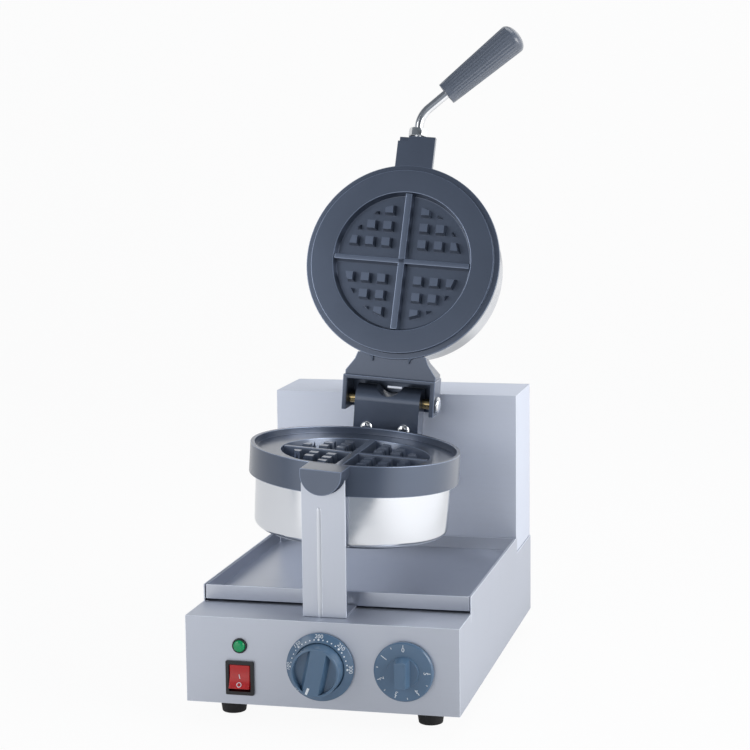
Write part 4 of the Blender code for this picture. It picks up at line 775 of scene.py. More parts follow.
def pegs(name, sizes, place):
    """The pegs of one recess: a square grid in each quarter, trimmed by a circle, by Geometry Nodes."""
    height = sizes.recess_depth + WALL
    recipe = Recipe(name, shelf.get("coating"), peg=sizes.peg, first=sizes.peg_first, pitch=sizes.peg_pitch,
                    circle=sizes.peg_circle, draft=sizes.peg_draft, height=height, rows=3)
    span = recipe["Pitch"] * 2.0
    rows = recipe["Rows"]
    spots = recipe.step("MeshGrid", Size_X=span, Size_Y=span, Vertices_X=rows, Vertices_Y=rows)
    out = recipe["First"] + recipe["Pitch"]
    quarter = recipe.step("Transform", Geometry=spots, Translation=recipe.vector(out, out))
    diagonal = math.sqrt(0.5)
    narrow = recipe["Peg"] * diagonal
    wide = narrow + recipe["Draft"] * math.sqrt(2)
    tall = recipe["Height"]
    cone = recipe.step("MeshCone", Vertices=4, Radius_Top=narrow, Radius_Bottom=wide, Depth=tall)
    square = recipe.step("Transform", Geometry=cone, Rotation=(0, 0, math.pi / 4))
    row = recipe.step("InstanceOnPoints", Points=quarter, Instance=square)
    middle = recipe.step("MeshLine", Count=4, Offset=(0, 0, 0))
    turn = recipe.vector(z=recipe.step("InputIndex") * QUARTER)
    around = recipe.step("InstanceOnPoints", Points=middle, Instance=row, Rotation=turn)
    solid = recipe.node("GeometryNodeRealizeInstances", inputs={0: around})
    edge = recipe["Circle"]
    foot = edge + recipe["Draft"]
    trimmer = recipe.step("MeshCone", Vertices=96, Radius_Top=edge, Radius_Bottom=foot, Depth=tall)
    settings = {"operation": "INTERSECT", "solver": "EXACT"}
    kept = recipe.node("GeometryNodeMeshBoolean", settings, {"Mesh 2": solid})
    recipe.tree.links.new(trimmer.socket, kept.socket.node.inputs["Mesh 2"])
    made = recipe.grow(name, kept, place @ shift(z=-height))
    return soften(made, ROUNDING)


def grid(name, sizes, place):
    """The cross bars and pegs of one recess, their tops just under z = 0."""
    low = -sizes.recess_depth - WALL
    reach = sizes.recess_radius - WALL
    top = -WALL / 10
    wide = frustum(sizes.wide_bar / 2, reach, low, top, sizes.peg_draft)
    narrow = frustum(reach, sizes.narrow_bar / 2, low, top, sizes.peg_draft)
    bars = [make(name + "_bar", bar, "coating", place, ROUNDING) for bar in (wide, narrow)]
    pieces = [*bars, pegs(name + "_pegs", sizes, place)]
    aim = place.to_3x3().col[2]
    # Tops of bars and pegs get a share of the painted highlight, which makes them paler than the recess floor
    # as if lit.
    for piece in pieces:
        marks = piece.data.attributes[PAINTED_HIGHLIGHT].data
        for mark, face in zip(marks, piece.data.polygons):
            if face.normal.dot(aim) > FACE_ON:
                mark.value = TOP_HIGHLIGHT
    return pieces


def lower_casting(sizes):
    """Rim, ring, recess, grid, half journal in front and neck behind."""
    inner = sizes.radius - sizes.rim_wall
    floor = -sizes.rim_depth - sizes.recess_depth
    underside = floor - PLATE_FLOOR
    recess = sizes.recess_radius
    lining = sizes.radius - SKIRT_WALL
    outline = [(0, floor), (recess - sizes.recess_draft, floor), (recess, -sizes.rim_depth),
               (inner, -sizes.rim_depth), (inner, 0), (sizes.radius, 0), (sizes.radius, -sizes.skirt),
               (lining, -sizes.skirt), (lining, underside), (0, underside)]
    bowl = make("lower_casting", lathe(outline, FACETS), "coating", HEAD, ROUNDING)
    start = shift(0, -inner - WALL, -WALL / 8) @ FACING
    tab = make("lower_tab", half_round(-JOURNAL_END - inner - WALL), "coating", HEAD @ start, ROUNDING)
    neck = make("lower_neck", block(*NECK), "coating", HEAD, 2 * ROUNDING, 3)
    parts = grid("lower_grid", sizes, HEAD @ shift(z=-sizes.rim_depth))
    return merged("lower_casting", [bowl, tab, neck, *parts])


CLEVIS_OUTER = 0.0468
CLEVIS_ARM = 0.0045
CLEVIS_LOW = -0.0110
CLEVIS_ROOF = (0.0207, 0.0247)
CLEVIS_DEPTH = (-0.0130, 0.0186)
CLEVIS_BACK = (0.0161, 0.01845)
CLEVIS_ARCH = 0.0280
CLEVIS_SLOT = ((-0.0075, 0.0100), (0.0075, 0.0122))
WEB_ROOT = 0.0930
WEB_ROOT_FRONT = 0.0063
WEB_ROOT_DEPTH = 0.0105
WEB_FRONT = -0.0083
WEB_REAR = ((0.0160, 0.0225), (0.0160, 0.0290))
WEB_SHOULDER = (0.0460, 0.0284)
WEB_TOP = (0.0343, 0.0485)
WEB_WAIST = (0.25, 0.4)
WEB_CURVE = 0.012


def clevis():
    """The two arms about the hinge block, their slotted rear wall, and the web that rises to the lid."""
    outer = CLEVIS_OUTER
    inner = outer - CLEVIS_ARM
    low_roof, roof = CLEVIS_ROOF
    bridge = [(-outer, CLEVIS_LOW), (-inner, CLEVIS_LOW), (-inner, low_roof), (inner, low_roof),
              (inner, CLEVIS_LOW), (outer, CLEVIS_LOW), (outer, roof), (-outer, roof)]
    front, rear = CLEVIS_DEPTH
    arms = make("clevis_arms", prism(bridge, -rear, -front), "coating", HINGE @ FACING, ROUNDING)
    near, far = CLEVIS_BACK
    half = inner + WALL / 2
    turn = math.asin((CLEVIS_LOW + HINGE_LOCAL.z) / CLEVIS_ARCH)
    arch = arc(CLEVIS_ARCH, math.pi - turn, turn, 32, (0, -HINGE_LOCAL.z))
    over = low_roof + WALL
    sheet = [(-half, CLEVIS_LOW), *arch, (half, CLEVIS_LOW), (half, over), (-half, over)]
    wall = make("clevis_back", prism(sheet, -far, -near), "coating", HINGE @ FACING)
    (left, under), (right, over) = CLEVIS_SLOT
    slot = block((left, under, -2 * far), (right, over, 0))
    trim(wall, [make("slot", slot, place=HINGE @ FACING)])
    to_hinge = HINGE.inverted() @ LID_FACE
    front_root = to_hinge @ Vector((0, -WEB_ROOT, -WEB_ROOT_FRONT))
    rear_root = to_hinge @ Vector((0, -WEB_ROOT, -WEB_ROOT_FRONT - WEB_ROOT_DEPTH))
    side = [(WEB_FRONT, WEB_REAR[0][1]), *WEB_REAR, (rear_root.y, rear_root.z), (front_root.y, front_root.z)]
    web = make("clevis_web", prism(side, -outer, outer), "coating", HINGE @ SIDEWAYS)
    half_low, shoulder = WEB_SHOULDER
    half_top, neck = WEB_TOP
    low = WEB_REAR[0][1] - WALL
    high = front_root.z + WALL
    across, along = WEB_WAIST
    waist = (half_top + across * (half_low - half_top), neck - along * (neck - shoulder))
    curve = rounded([(half_low, shoulder), waist, (half_top, neck), (half_top, high)], WEB_CURVE, 8)
    face = [(half_low, low), *curve, *[(-x, z) for x, z in reversed(curve)], (-half_low, low)]
    trim(web, [make("web_face", prism(face, -outer, outer), place=HINGE @ FACING)], "INTERSECT")
    return [arms, soften(wall, ROUNDING / 2), soften(web, ROUNDING)]


def tab_fillet(side, reach, low, high):
    """The hollow corner between the lid's flange and one side of its half journal."""
    across = JOURNAL_RADIUS + TAB_FILLET
    out = math.sqrt((reach + TAB_FILLET) ** 2 - across ** 2)
    stop = math.asin(out / (reach + TAB_FILLET))
    curve = arc(TAB_FILLET, math.pi, math.pi + stop, 10, (across, out))
    root = JOURNAL_RADIUS - WALL
    points = [(side * x, -y) for x, y in [(root, out), *curve, (root, out - across)]]
    return make("tab_fillet", prism(points, low + WALL / 8, high - WALL / 8), "coating", LID_FACE)


def upper_casting(sizes, pot):
    """The lid's raised disc with its grid, the flange, half journal and clevis."""
    step = -sizes.disc_step
    back = step - sizes.flange
    body = pot.radius - pot.sheet - WALL
    rear = -sizes.recess_depth - PLATE_FLOOR
    recess = sizes.recess_radius
    outline = [(0, -sizes.recess_depth), (recess - sizes.recess_draft, -sizes.recess_depth), (recess, 0),
               (sizes.disc_radius, 0), (sizes.disc_radius, step), (sizes.lid_radius, step),
               (sizes.lid_radius, back), (body, back), (body, rear), (0, rear)]
    disc = make("upper_casting", lathe(outline, FACETS), "coating", LID_FACE, ROUNDING)
    start = pot.radius + WALL
    flat = LID_FACE @ shift(0, -JOURNAL_END, step - WALL / 8) @ FACING
    tab = make("upper_tab", half_round(-JOURNAL_END - start), "coating", flat)
    wide, long, deep = TAB_NOTCH
    low = (-JOURNAL_RADIUS - WALL, -JOURNAL_END - long, step - deep)
    high = (wide - JOURNAL_RADIUS, -JOURNAL_END + WALL, step + WALL)
    trim(tab, [make("tab_notch", block(low, high), place=LID_FACE)])
    soften(tab, ROUNDING)
    corners = [tab_fillet(side, sizes.lid_radius, back, step) for side in (-1, 1)]
    return merged("upper_casting", [disc, tab, *corners, *clevis(), *grid("upper_grid", sizes, LID_FACE)])


def drum_cover(name, sizes, place, top):
    """A thin drum with a rolled corner, its edge at the casting and its closed end away from it."""
    low = -sizes.depth
    narrow = sizes.radius - sizes.taper
    corner = arc(sizes.corner, 0, -QUARTER, 16, (narrow - sizes.corner, low + sizes.corner))
    lining = arc(sizes.corner - sizes.sheet, -QUARTER, 0, 16, (narrow - sizes.corner, low + sizes.corner))
    outline = [(sizes.radius, top), *corner, (0, low), (0, low + sizes.sheet), *lining,
               (sizes.radius - sizes.sheet, top)]
    return make(name, lathe(outline, FACETS, closed=True), "pot", place)


BLOCK_HALF_WIDTH = 0.0328
KNUCKLE_RADIUS = 0.0154
BLOCK_REAR = 0.0104
BLOCK_LOW = -0.0117 - HINGE_LOCAL.z
MOON_RADIUS = 0.0143
MOON_DEPTH = 0.0095


def hinge_block():
    """The block with its round knuckle on the hinge line and a half-moon in its top."""
    rear = math.acos(BLOCK_REAR / KNUCKLE_RADIUS)
    side = [(-KNUCKLE_RADIUS, BLOCK_LOW), *arc(KNUCKLE_RADIUS, math.pi, rear, 40), (BLOCK_REAR, BLOCK_LOW)]
    piece = make("hinge_block", prism(side, -BLOCK_HALF_WIDTH, BLOCK_HALF_WIDTH), "coating",
                 HINGE @ SIDEWAYS)
    reach = 2 * KNUCKLE_RADIUS
    height = KNUCKLE_RADIUS - MOON_DEPTH + MOON_RADIUS
    moon = prism(circle(MOON_RADIUS, 64, (0, height)), -reach, reach)
    trim(piece, [make("half_moon", moon, place=HINGE @ FACING)])
    return soften(piece, ROUNDING)


# Handle

ROD_DEPTH = 0.0095
ROD_STRAIGHT = 0.0116
ROD_BEND = 0.026
ROD_BEND_ANGLE = math.radians(45)
ROD_AFTER_BEND = 0.0227
ROD_IN_GRIP = 0.030
GRIP_DOME = 0.0085
GRIP_COLLAR = 0.004
GRIP_BORE = 0.008
ROD_ROOT = LID_FACE @ shift(0, -JOURNAL_END + SEAT, -ROD_DEPTH)


def rod_route():
    """The rod's centre line in its root's frame, and the point and direction where the grip starts."""
    points = [Vector((0, -WALL, 0))]
    for step in range(13):
        turn = ROD_BEND_ANGLE * step / 12
        bend = (ROD_BEND * (1 - math.cos(turn)), ROD_STRAIGHT + ROD_BEND * math.sin(turn), 0)
        points.append(Vector(bend))
    lean = Vector((math.sin(ROD_BEND_ANGLE), math.cos(ROD_BEND_ANGLE), 0))
    mouth = points[-1] + lean * ROD_AFTER_BEND
    return [*points, mouth + lean * ROD_IN_GRIP], mouth, lean


def rod(sizes):
    """The bent rod, a round profile along its centre line, by Geometry Nodes."""
    points = rod_route()[0]
    line = bpy.data.meshes.new("rod_line")
    line.from_pydata(points, [(step, step + 1) for step in range(len(points) - 1)], [])
    recipe = Recipe("rod_along_line", shelf.get("chrome"), radius=sizes.rod, facets=32)
    path = recipe.node("GeometryNodeMeshToCurve", inputs={0: recipe["Geometry"]})
    radius = recipe["Radius"]
    ring = recipe.step("CurvePrimitiveCircle", Resolution=recipe["Facets"], Radius=radius)
    tube = recipe.step("CurveToMesh", Curve=path, Profile_Curve=ring, Fill_Caps=True)
    return shaded(recipe.grow("rod", tube, ROD_ROOT, line))


def grip(sizes):
    """The tapered grip: fine grooves by Geometry Nodes, which fade at its collar and its domed end."""
    shoulder = sizes.length - GRIP_DOME
    taper = sizes.narrow - sizes.wide
    side = [(sizes.wide + taper * step / 24, shoulder * (1 - step / 24)) for step in range(1, 24)]
    mouth = rounded([(sizes.narrow, GRIP_COLLAR / 4), (sizes.narrow, 0), (GRIP_BORE, 0),
                     (GRIP_BORE, GRIP_BORE), (0, GRIP_BORE)], WALL)
    solid = lathe([*dome(sizes.wide, GRIP_DOME, shoulder, 14), *side, *mouth], sizes.flutes * 8)
    bmesh.ops.recalc_face_normals(solid, faces=solid.faces)
    recipe = Recipe("grip_flutes", shelf.get("grip"), flutes=sizes.flutes, depth=sizes.flute_depth,
                    shoulder=shoulder, collar=GRIP_COLLAR)
    across, back, height = recipe.parts(recipe.step("InputPosition"))
    turn = back.maths("ARCTAN2", across) * recipe["Flutes"]
    wave = (1.0 - turn.maths("COSINE")) * 0.5
    ends = height.rise(recipe["Collar"], recipe["Collar"] * 2.5)
    tip = 1.0 - height.rise(recipe["Shoulder"] * 0.94, recipe["Shoulder"] * 1.02)
    depth = wave * ends * tip * recipe["Depth"]
    reach = (across * across + back * back).maths("SQRT").maths("MAXIMUM", MERGE)
    scale = 1.0 - depth / reach
    outside = reach.maths("GREATER_THAN", GRIP_BORE + WALL / 2)
    moved = recipe.vector(across * scale, back * scale, height)
    cut = recipe.step("SetPosition", Geometry=recipe["Geometry"], Position=moved, Selection=outside)
    start, lean = rod_route()[1:]
    made = recipe.grow("grip", cut, ROD_ROOT @ aimed(start, lean), mesh_of("grip", solid))
    return shaded(made, math.radians(50))


# Knobs

THERMOSTAT = BASE @ shift(z=0.0388) @ FACING
THERMOSTAT_TURN = math.radians(158)
TIMER = BASE @ shift(0.0755, 0, 0.0389) @ FACING
DIAL_EDGE = 0.0030
DIAL_TOP = 0.0074
DIAL_FLAT = 0.0240
KNOB_LOW = 0.0040
KNOB_SHOULDER = 0.0125
KNOB_WALL = 0.0020
KNOB_LEAN = 0.0016
KNOB_EDGE = TURNED["thermostat_knob"][0]
KNOB_BEVEL = 0.0006
POCKET_DRAFT = 0.96
POINTER = (0.0011, 0.0148, 0.0070)
RIDGE_WIDTH = 0.0130
RIDGE_LEAN = math.radians(10)
RIDGE_FLANK = 0.0040
SPINDLE = (0.003, -0.016)
DOT_STEP = math.radians(9)
DOT_START = math.radians(-135)
DOT_CIRCLE = 0.0258
DOT_SMALL = 0.00066
DOT_LARGE = 0.00100
NUMBER_CIRCLE = 0.0283
NUMBERS = {50 * (place + 1): math.radians(-135 + 45 * place) for place in range(6)}
INK = 0.00012
TIMER_TOP = 0.0048
TIMER_EDGE = 0.0012
TIMER_HUB = (0.0120, 0.0145)
BAR_HALF = 0.0055
BAR_LEAN = (1.15, 0.85)
BAR_FOOT = 0.0022
BAR_ROOM = 0.02
BAR_BEVEL = 0.0005
TIMER_STEP = math.radians(-27)
TIMER_TICKS = 11
TICK_OUTER = 0.0244
TICK_LONG = 0.0026
TICK_SHORT = 0.0016
TICK_WIDTH = 0.0006
TIMER_DIGIT_CIRCLE = 0.0200


def compass(radius, turn, height=0.0):
    """A point at an angle clockwise from the top of a dial."""
    return Vector((radius * math.sin(turn), radius * math.cos(turn), height))


def number(text, size, place):
    """A printed number as a thin mesh whose middle is at its place."""
    curve = bpy.data.curves.new("number", "FONT")
    curve.body = text
    curve.size = size * 1.42
    curve.align_x = "CENTER"
    curve.align_y = "CENTER"
    curve.extrude = INK / 2
    curve.resolution_u = 3
    guide = linked("number_" + text, curve)
    bpy.context.view_layer.update()
    data = bpy.data.meshes.new_from_object(guide.evaluated_get(bpy.context.evaluated_depsgraph_get()))
    bpy.data.objects.remove(guide, do_unlink=True)
    data.transform(place)
    data.materials.clear()
    data.materials.append(shelf.get("marks"))
    return linked("number_" + text, data)


def dial_slope(sizes):
    """How steeply the thermostat's dial falls from its middle to its edge."""
    return math.atan2(DIAL_TOP - DIAL_EDGE, sizes.dial_radius - DIAL_FLAT)


def dial_height(sizes, radius):
    """Height of the thermostat's dial at a radius."""
    return DIAL_TOP - (radius - DIAL_FLAT) * math.tan(dial_slope(sizes)) + INK / 2


def dots(sizes):
    """The thermostat's scale: a dot at each step, larger at each number, by Geometry Nodes."""
    rise = dial_height(sizes, DOT_CIRCLE)
    recipe = Recipe("dial_dots", shelf.get("marks"), count=sizes.dots, circle=DOT_CIRCLE, start=DOT_START,
                    step=DOT_STEP, small=DOT_SMALL, large=DOT_LARGE, every=5, rise=rise)
    index = recipe.step("InputIndex")
    turn = index * recipe["Step"] + recipe["Start"]
    disc = recipe.step("MeshCylinder", Vertices=16, Radius=1.0, Depth=INK)
    numbered = 1.0 - index.maths("MODULO", recipe["Every"]).maths("GREATER_THAN", 0.5)
    width = recipe["Small"] + numbered * (recipe["Large"] - recipe["Small"])
    scale = recipe.vector(width, width, 1.0)
    facing = recipe.vector(x=-dial_slope(sizes), z=turn * -1.0)
    shown = recipe.around(disc, turn, recipe["Circle"], recipe["Rise"], scale, facing)
    return recipe.grow("dial_dots", shown, THERMOSTAT)


def ticks():
    """The timer's scale: long ticks at the numbers and short ones between them, by Geometry Nodes."""
    recipe = Recipe("timer_ticks", shelf.get("marks"), count=TIMER_TICKS, outer=TICK_OUTER, step=TIMER_STEP,
                    long=TICK_LONG, short=TICK_SHORT, width=TICK_WIDTH)
    index = recipe.step("InputIndex")
    turn = index * recipe["Step"]
    odd = index.maths("MODULO", 2.0)
    span = recipe["Long"] + odd * (recipe["Short"] - recipe["Long"])
    reach = recipe["Outer"] - span * 0.5
    bar = recipe.step("MeshCube", Size=(1, 1, INK))
    scale = recipe.vector(recipe["Width"], span, 1.0)
    shown = recipe.around(bar, turn, reach, TIMER_TOP, scale, recipe.vector(z=turn * -1.0))
    return recipe.grow("timer_ticks", shown, TIMER)


def dial(sizes):
    """The thermostat's fixed dial with its numbers and dots."""
    hub = SPINDLE[0] + SEAT
    outline = [(hub, KNOB_LOW - SEAT), (DIAL_FLAT - WALL, KNOB_LOW - SEAT), (DIAL_FLAT - WALL, DIAL_TOP),
               (DIAL_FLAT, DIAL_TOP), (sizes.dial_radius, DIAL_EDGE), (sizes.dial_radius, SEAT), (hub, SEAT)]
    disc = turned("dial", outline, "knob", THERMOSTAT)
    marks = []
    lean = Matrix.Rotation(-dial_slope(sizes), 4, "X")
    for value, turn in NUMBERS.items():
        spot = compass(NUMBER_CIRCLE, turn, dial_height(sizes, NUMBER_CIRCLE))
        at = Matrix.Translation(spot) @ Matrix.Rotation(-turn, 4, "Z") @ lean
        marks.append(number(str(value), sizes.digit, THERMOSTAT @ at))
    return disc, merged("dial_marks", [dots(sizes), *marks])


def spindle(place):
    """The shank that carries a knob."""
    radius, end = SPINDLE
    outline = [(0, KNOB_LOW), (radius, KNOB_LOW), (radius, end), (0, end)]
    return make("spindle", lathe(outline, 32), "knob", place)


def thermostat_knob(sizes):
    """The turning cap: two D-shaped pockets beside a ridge, and its pointer."""
    high = KNOB_LOW + sizes.knob_reach
    face = sizes.knob_radius - KNOB_LEAN
    turn = THERMOSTAT @ Matrix.Rotation(THERMOSTAT_TURN, 4, "Z")
    outline = [(0, high), (face, high), (sizes.knob_radius - WALL, KNOB_LOW), (0, KNOB_LOW)]
    cap = turned("thermostat_knob", outline, "knob", turn, False)
    reach = face - KNOB_WALL
    spread = math.acos(RIDGE_WIDTH / 2 / reach)
    pockets = []
    for side in (0, math.pi):
        wall = arc(reach, side - spread, side + spread, 40)
        pocket = prism(wall, KNOB_LOW + KNOB_SHOULDER, high + WALL)
        for vert in pocket.verts:
            if vert.co.z < high:
                flank = max(POCKET_DRAFT * abs(vert.co.x), RIDGE_WIDTH / 2 + RIDGE_FLANK)
                vert.co.x = math.copysign(flank, vert.co.x)
                vert.co.y *= POCKET_DRAFT
        pockets.append(make("pocket", pocket, place=turn @ Matrix.Rotation(RIDGE_LEAN, 4, "Z")))
    trim(cap, pockets)
    soften(cap, KNOB_BEVEL, 3)
    half, start, drop = POINTER
    line = block((-half, start, high - INK), (half, face - WALL, high + INK / 2))
    mark = make("pointer", line, "marks", turn)
    lean = math.atan2(sizes.knob_radius - WALL - face, sizes.knob_reach)
    side = shift(0, face + INK / 2, high - KNOB_EDGE) @ Matrix.Rotation(lean, 4, "X")
    down = make("pointer_side", block((-half, -INK, -drop), (half, INK, 0)), "marks", turn @ side)
    return merged("thermostat_knob", [cap, spindle(turn)]), merged("pointer", [mark, down])


def timer_knob(sizes):
    """The timer's disc and bar, which turn together, with their scale."""
    high = SEAT + sizes.timer_reach
    radius = sizes.timer_radius
    outline = [(0, TIMER_TOP), (radius - TIMER_EDGE, TIMER_TOP), (radius, TIMER_TOP - TIMER_EDGE),
               (radius, SEAT), (0, SEAT)]
    disc = turned("timer_knob", outline, "knob", TIMER, False)
    top, foot = TIMER_HUB
    outline = [(0, high), (top, high), (foot, TIMER_TOP - WALL), (0, TIMER_TOP - WALL)]
    hub = turned("timer_hub", outline, "knob", TIMER, False)
    foot, top = (BAR_HALF * share for share in BAR_LEAN)
    low = TIMER_TOP + BAR_FOOT
    flanks = []
    for side in (-1, 1):
        corners = [(side * foot, low), (side * top, high + WALL), (side * BAR_ROOM, high + WALL),
                   (side * BAR_ROOM, low)]
        flanks.append(make("flank", prism(corners, -BAR_ROOM, BAR_ROOM), place=TIMER @ FACING))
    trim(hub, flanks)
    soften(hub, BAR_BEVEL, 3)
    marks = [ticks()]
    for value in range(6):
        turn = 2 * value * TIMER_STEP
        at = Matrix.Translation(compass(TIMER_DIGIT_CIRCLE, turn, TIMER_TOP)) @ Matrix.Rotation(-turn, 4, "Z")
        marks.append(number(str(value), sizes.digit * 1.1, TIMER @ at))
    return merged("timer_knob", [disc, hub, spindle(TIMER)]), merged("timer_marks", marks)


# Switch and lamp

SWITCH = BASE @ shift(-0.0745, 0, 0.0243)
LAMP = BASE @ shift(-0.0745, 0, 0.0536) @ FACING
BEZEL = (0.026, 0.031, 0.0022)
BARREL = (0.0215, 0.0268, 0.026)
ROCKER = (0.0188, 0.0212)
ROCKER_ROOM = 0.0006
ROCKER_PIVOT = 0.0035
ROCKER_REACH = 0.0042
ROCKER_BACK = 0.0045
ROCKER_DISH = 0.0018
ROCKER_TILT = math.radians(12)
ROCKER_SWING = 0.0032
BEZEL_CORNER = 0.0012
BEZEL_BEVEL = 0.0004
WELL = (-0.0105, 0.01)
PIN = (0.0012, 0.0112)
LINE_HEIGHT = 0.0003
LINE = [(0.0002, -0.0019), (0.0008, -0.0019), (-0.0003, 0.0019), (-0.0009, 0.0019)]
RING_HEIGHT = -0.0070
RING = (0.0017, 0.0023)
LAMP_TOP = 0.0021
LENS = (0.0053, 0.0022, -0.0009)


def centred(wide, tall, corner):
    """A rounded rectangle about the origin."""
    half, high = wide / 2, tall / 2
    return rounded([(-half, -high), (half, -high), (half, high), (-half, high)], corner, 5, closed=True)


def switch_bezel():
    """The black frame and barrel around the rocker."""
    wide, tall, thick = BEZEL
    flange = make("switch_bezel", prism(centred(wide, tall, BEZEL_CORNER), SEAT, SEAT + thick), "black",
                  SWITCH @ FACING)
    wide, tall, deep = BARREL
    barrel = make("barrel", prism(centred(wide, tall, WALL), -deep, SEAT + thick / 2), place=SWITCH @ FACING)
    trim(flange, [barrel], "UNION")
    room = centred(ROCKER[0] + 2 * ROCKER_ROOM, ROCKER[1] + ROCKER_SWING, ROCKER_ROOM)
    well = make("well", prism(room, *WELL), place=SWITCH @ FACING)
    trim(flange, [well])
    return soften(flange, BEZEL_BEVEL)


def rocker():
    """The dished red rocker, tipped in at its top, with its two marks."""
    front = -ROCKER_PIVOT - ROCKER_REACH
    half = ROCKER[1] / 2
    rise = [(front + ROCKER_DISH * (1 - (step / 8) ** 2), half * step / 8) for step in range(-8, 9)]
    side = [*rise, (ROCKER_BACK, half), (ROCKER_BACK, -half)]
    pivot = SWITCH @ shift(0, ROCKER_PIVOT, 0) @ Matrix.Rotation(-ROCKER_TILT, 4, "X")
    body = make("rocker", prism(side, -ROCKER[0] / 2, ROCKER[0] / 2), "rocker", pivot @ SIDEWAYS, ROUNDING, 3)
    radius, end = PIN
    pin = lathe([(0, end), (radius, end), (radius, -end), (0, -end)], 24)
    pin = make("pin", pin, "rocker", pivot @ aimed((0, 0, 0), (1, 0, 0)))
    inner, outer = RING
    ring = lathe([(inner, INK), (outer, INK), (outer, -INK), (inner, -INK)], 48, closed=True)
    marks = []
    for height, solid in ((LINE_HEIGHT, prism(LINE, -INK, INK)), (RING_HEIGHT, ring)):
        for vert in solid.verts:
            vert.co.z += ROCKER_DISH * (vert.co.y / half) ** 2
        depth = front + ROCKER_DISH * (1 - (height / half) ** 2)
        slope = math.atan2(-2 * ROCKER_DISH * height / half, half)
        at = pivot @ shift(0, depth, height) @ Matrix.Rotation(QUARTER - slope, 4, "X")
        marks.append(make("rocker_mark", solid, "marks", at))
    return merged("rocker", [body, pin]), merged("rocker_marks", marks)


def lamp():
    """The dark ring and its domed green lens."""
    profile = [(0.0056, LAMP_TOP), (0.0065, LAMP_TOP), (0.0070, SEAT), (0.0060, SEAT), (0.0060, -0.022),
               (0.0041, -0.022), (0.0041, -0.0012), (0.0056, -0.0012)]
    bezel = turned("lamp_ring", profile, "black", LAMP)
    radius, rise, end = LENS
    curve = dome(radius, rise, LAMP_TOP, 10)
    lens = make("lamp_lens", lathe([*curve, (radius, end), (0, end)], 64), "lens", LAMP)
    return bezel, lens


# Fasteners and feet

NUT_BEVEL = 0.0002
SCREW_BEVEL = 0.00015
CHAMFER_TOP = 0.80
CHAMFER_SIDE = 1.02
CHAMFER_DROP = 0.10
CROWN_FOOT = 0.35
CROSS_WIDTH = 0.16
CROSS_REACH = 0.62
CROSS_FLOOR = 0.45


def head_shape(name, kind, radius, height, shank, reach):
    """A fastener standing on z = 0 with its head above and its shank below: pan, dome or hexagon."""
    stem = [(shank, 0), (shank, -reach), (0, -reach)]
    if kind == "hexagon":
        made = make(name, prism(circle(radius, 6), 0, height), "zinc")
        top = height + WALL
        side = radius * CHAMFER_SIDE
        outline = [(0, top), (radius * CHAMFER_TOP, top), (side, height - radius * CHAMFER_DROP),
                   (side, -WALL), (0, -WALL)]
        trim(made, [make("chamfer", lathe(outline, 48))], "INTERSECT")
        soften(made, NUT_BEVEL)
        stem = make(name + "_stem", lathe([(0, 0), *stem], 24), "zinc")
        return merged(name, [made, stem])
    crown = dome(radius, (1 - CROWN_FOOT) * height, CROWN_FOOT * height, 8)
    made = make(name, lathe([*crown, (radius, 0), *stem], 48), "zinc")
    if kind == "pan":
        slot = radius * CROSS_WIDTH
        span = radius * CROSS_REACH
        low = height * CROSS_FLOOR
        arms = ((slot, span), (span, slot))
        cross = [make("cross", block((-x, -y, low), (x, y, 2 * height))) for x, y in arms]
        trim(made, [trim(cross[0], [cross[1]], "UNION")])
    return soften(made, SCREW_BEVEL)


def fastened(name, shape, spots):
    """One fastener at each spot, turned to its axis, by Geometry Nodes; a spot is a point and an axis."""
    points = bpy.data.meshes.new(name)
    points.from_pydata([point for point, axis in spots], [], [])
    aims = points.attributes.new("aim", "FLOAT_VECTOR", "POINT")
    for item, (point, axis) in zip(aims.data, spots):
        item.vector = axis
    recipe = Recipe(name, shape.data.materials[0], shape=shape)
    one = recipe.node("GeometryNodeObjectInfo", inputs={0: recipe["Shape"]}, output="Geometry")
    aim = recipe.node("GeometryNodeInputNamedAttribute", {"data_type": "FLOAT_VECTOR"}, {"Name": "aim"})
    turn = recipe.node("FunctionNodeAlignRotationToVector", {"axis": "Z"}, {"Vector": aim})
    placed = recipe.step("InstanceOnPoints", Points=recipe["Geometry"], Instance=one, Rotation=turn)
    made = shaded(recipe.grow(name, placed, points=points))
    bpy.data.objects.remove(shape, do_unlink=True)
    return made


def end_of(node, axis, sign):
    """The middle of a node's box on the side that an axis and a sign name."""
    low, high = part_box(node)
    point = (Vector(low) + Vector(high)) / 2
    point[axis] = (high if sign > 0 else low)[axis]
    return point


def seated(node, axis, sign, height):
    """Where a level node's screw head starts, and which way it faces."""
    aim = Vector((0, 0, 0))
    aim[axis] = sign
    return end_of(node, axis, sign) - aim * height, aim


PAN = (0.0036, 0.0024, 0.002)
PAN_REACH = 0.008
BOLT = (0.0045, 0.003, 0.0025)
BOLT_REACH = 0.0085
LUG = (0.0060, 0.0040, 0.003)
LUG_REACH = 0.030
LUG_ASIDE = 0.019
LUG_LOW = -0.004
NECK_REACH = 0.026
NECK_ASIDE = 0.008
ROD_NUT = (0.0098, 0.008, 0.0046)
ROD_NUT_REACH = 0.0002
HINGE_HEAD = (0.00825, 0.0045)
HINGE_FOOT = 0.25
HINGE_SHANK = 0.004
HINGE_BEVEL = 0.0003
BUSH = (0.0043, 0.0051)
FOOT_HOLE = 0.0023
FOOT_WELL = (0.006, 0.009)
FOOT_EDGE = TURNED["foot"][0]
FEET = ["foot_front_left", "foot_front_right", "foot_rear_left", "foot_rear_right"]
FOOT_SCREWS = [name.replace("foot", "foot_screw") for name in FEET]
PANEL_SCREWS = [f"rear_panel_screw_{place}" for place in (1, 2, 3, 4)]
BEARING_SCREWS = [f"bearing_screw_{place}" for place in (1, 2, 3)]


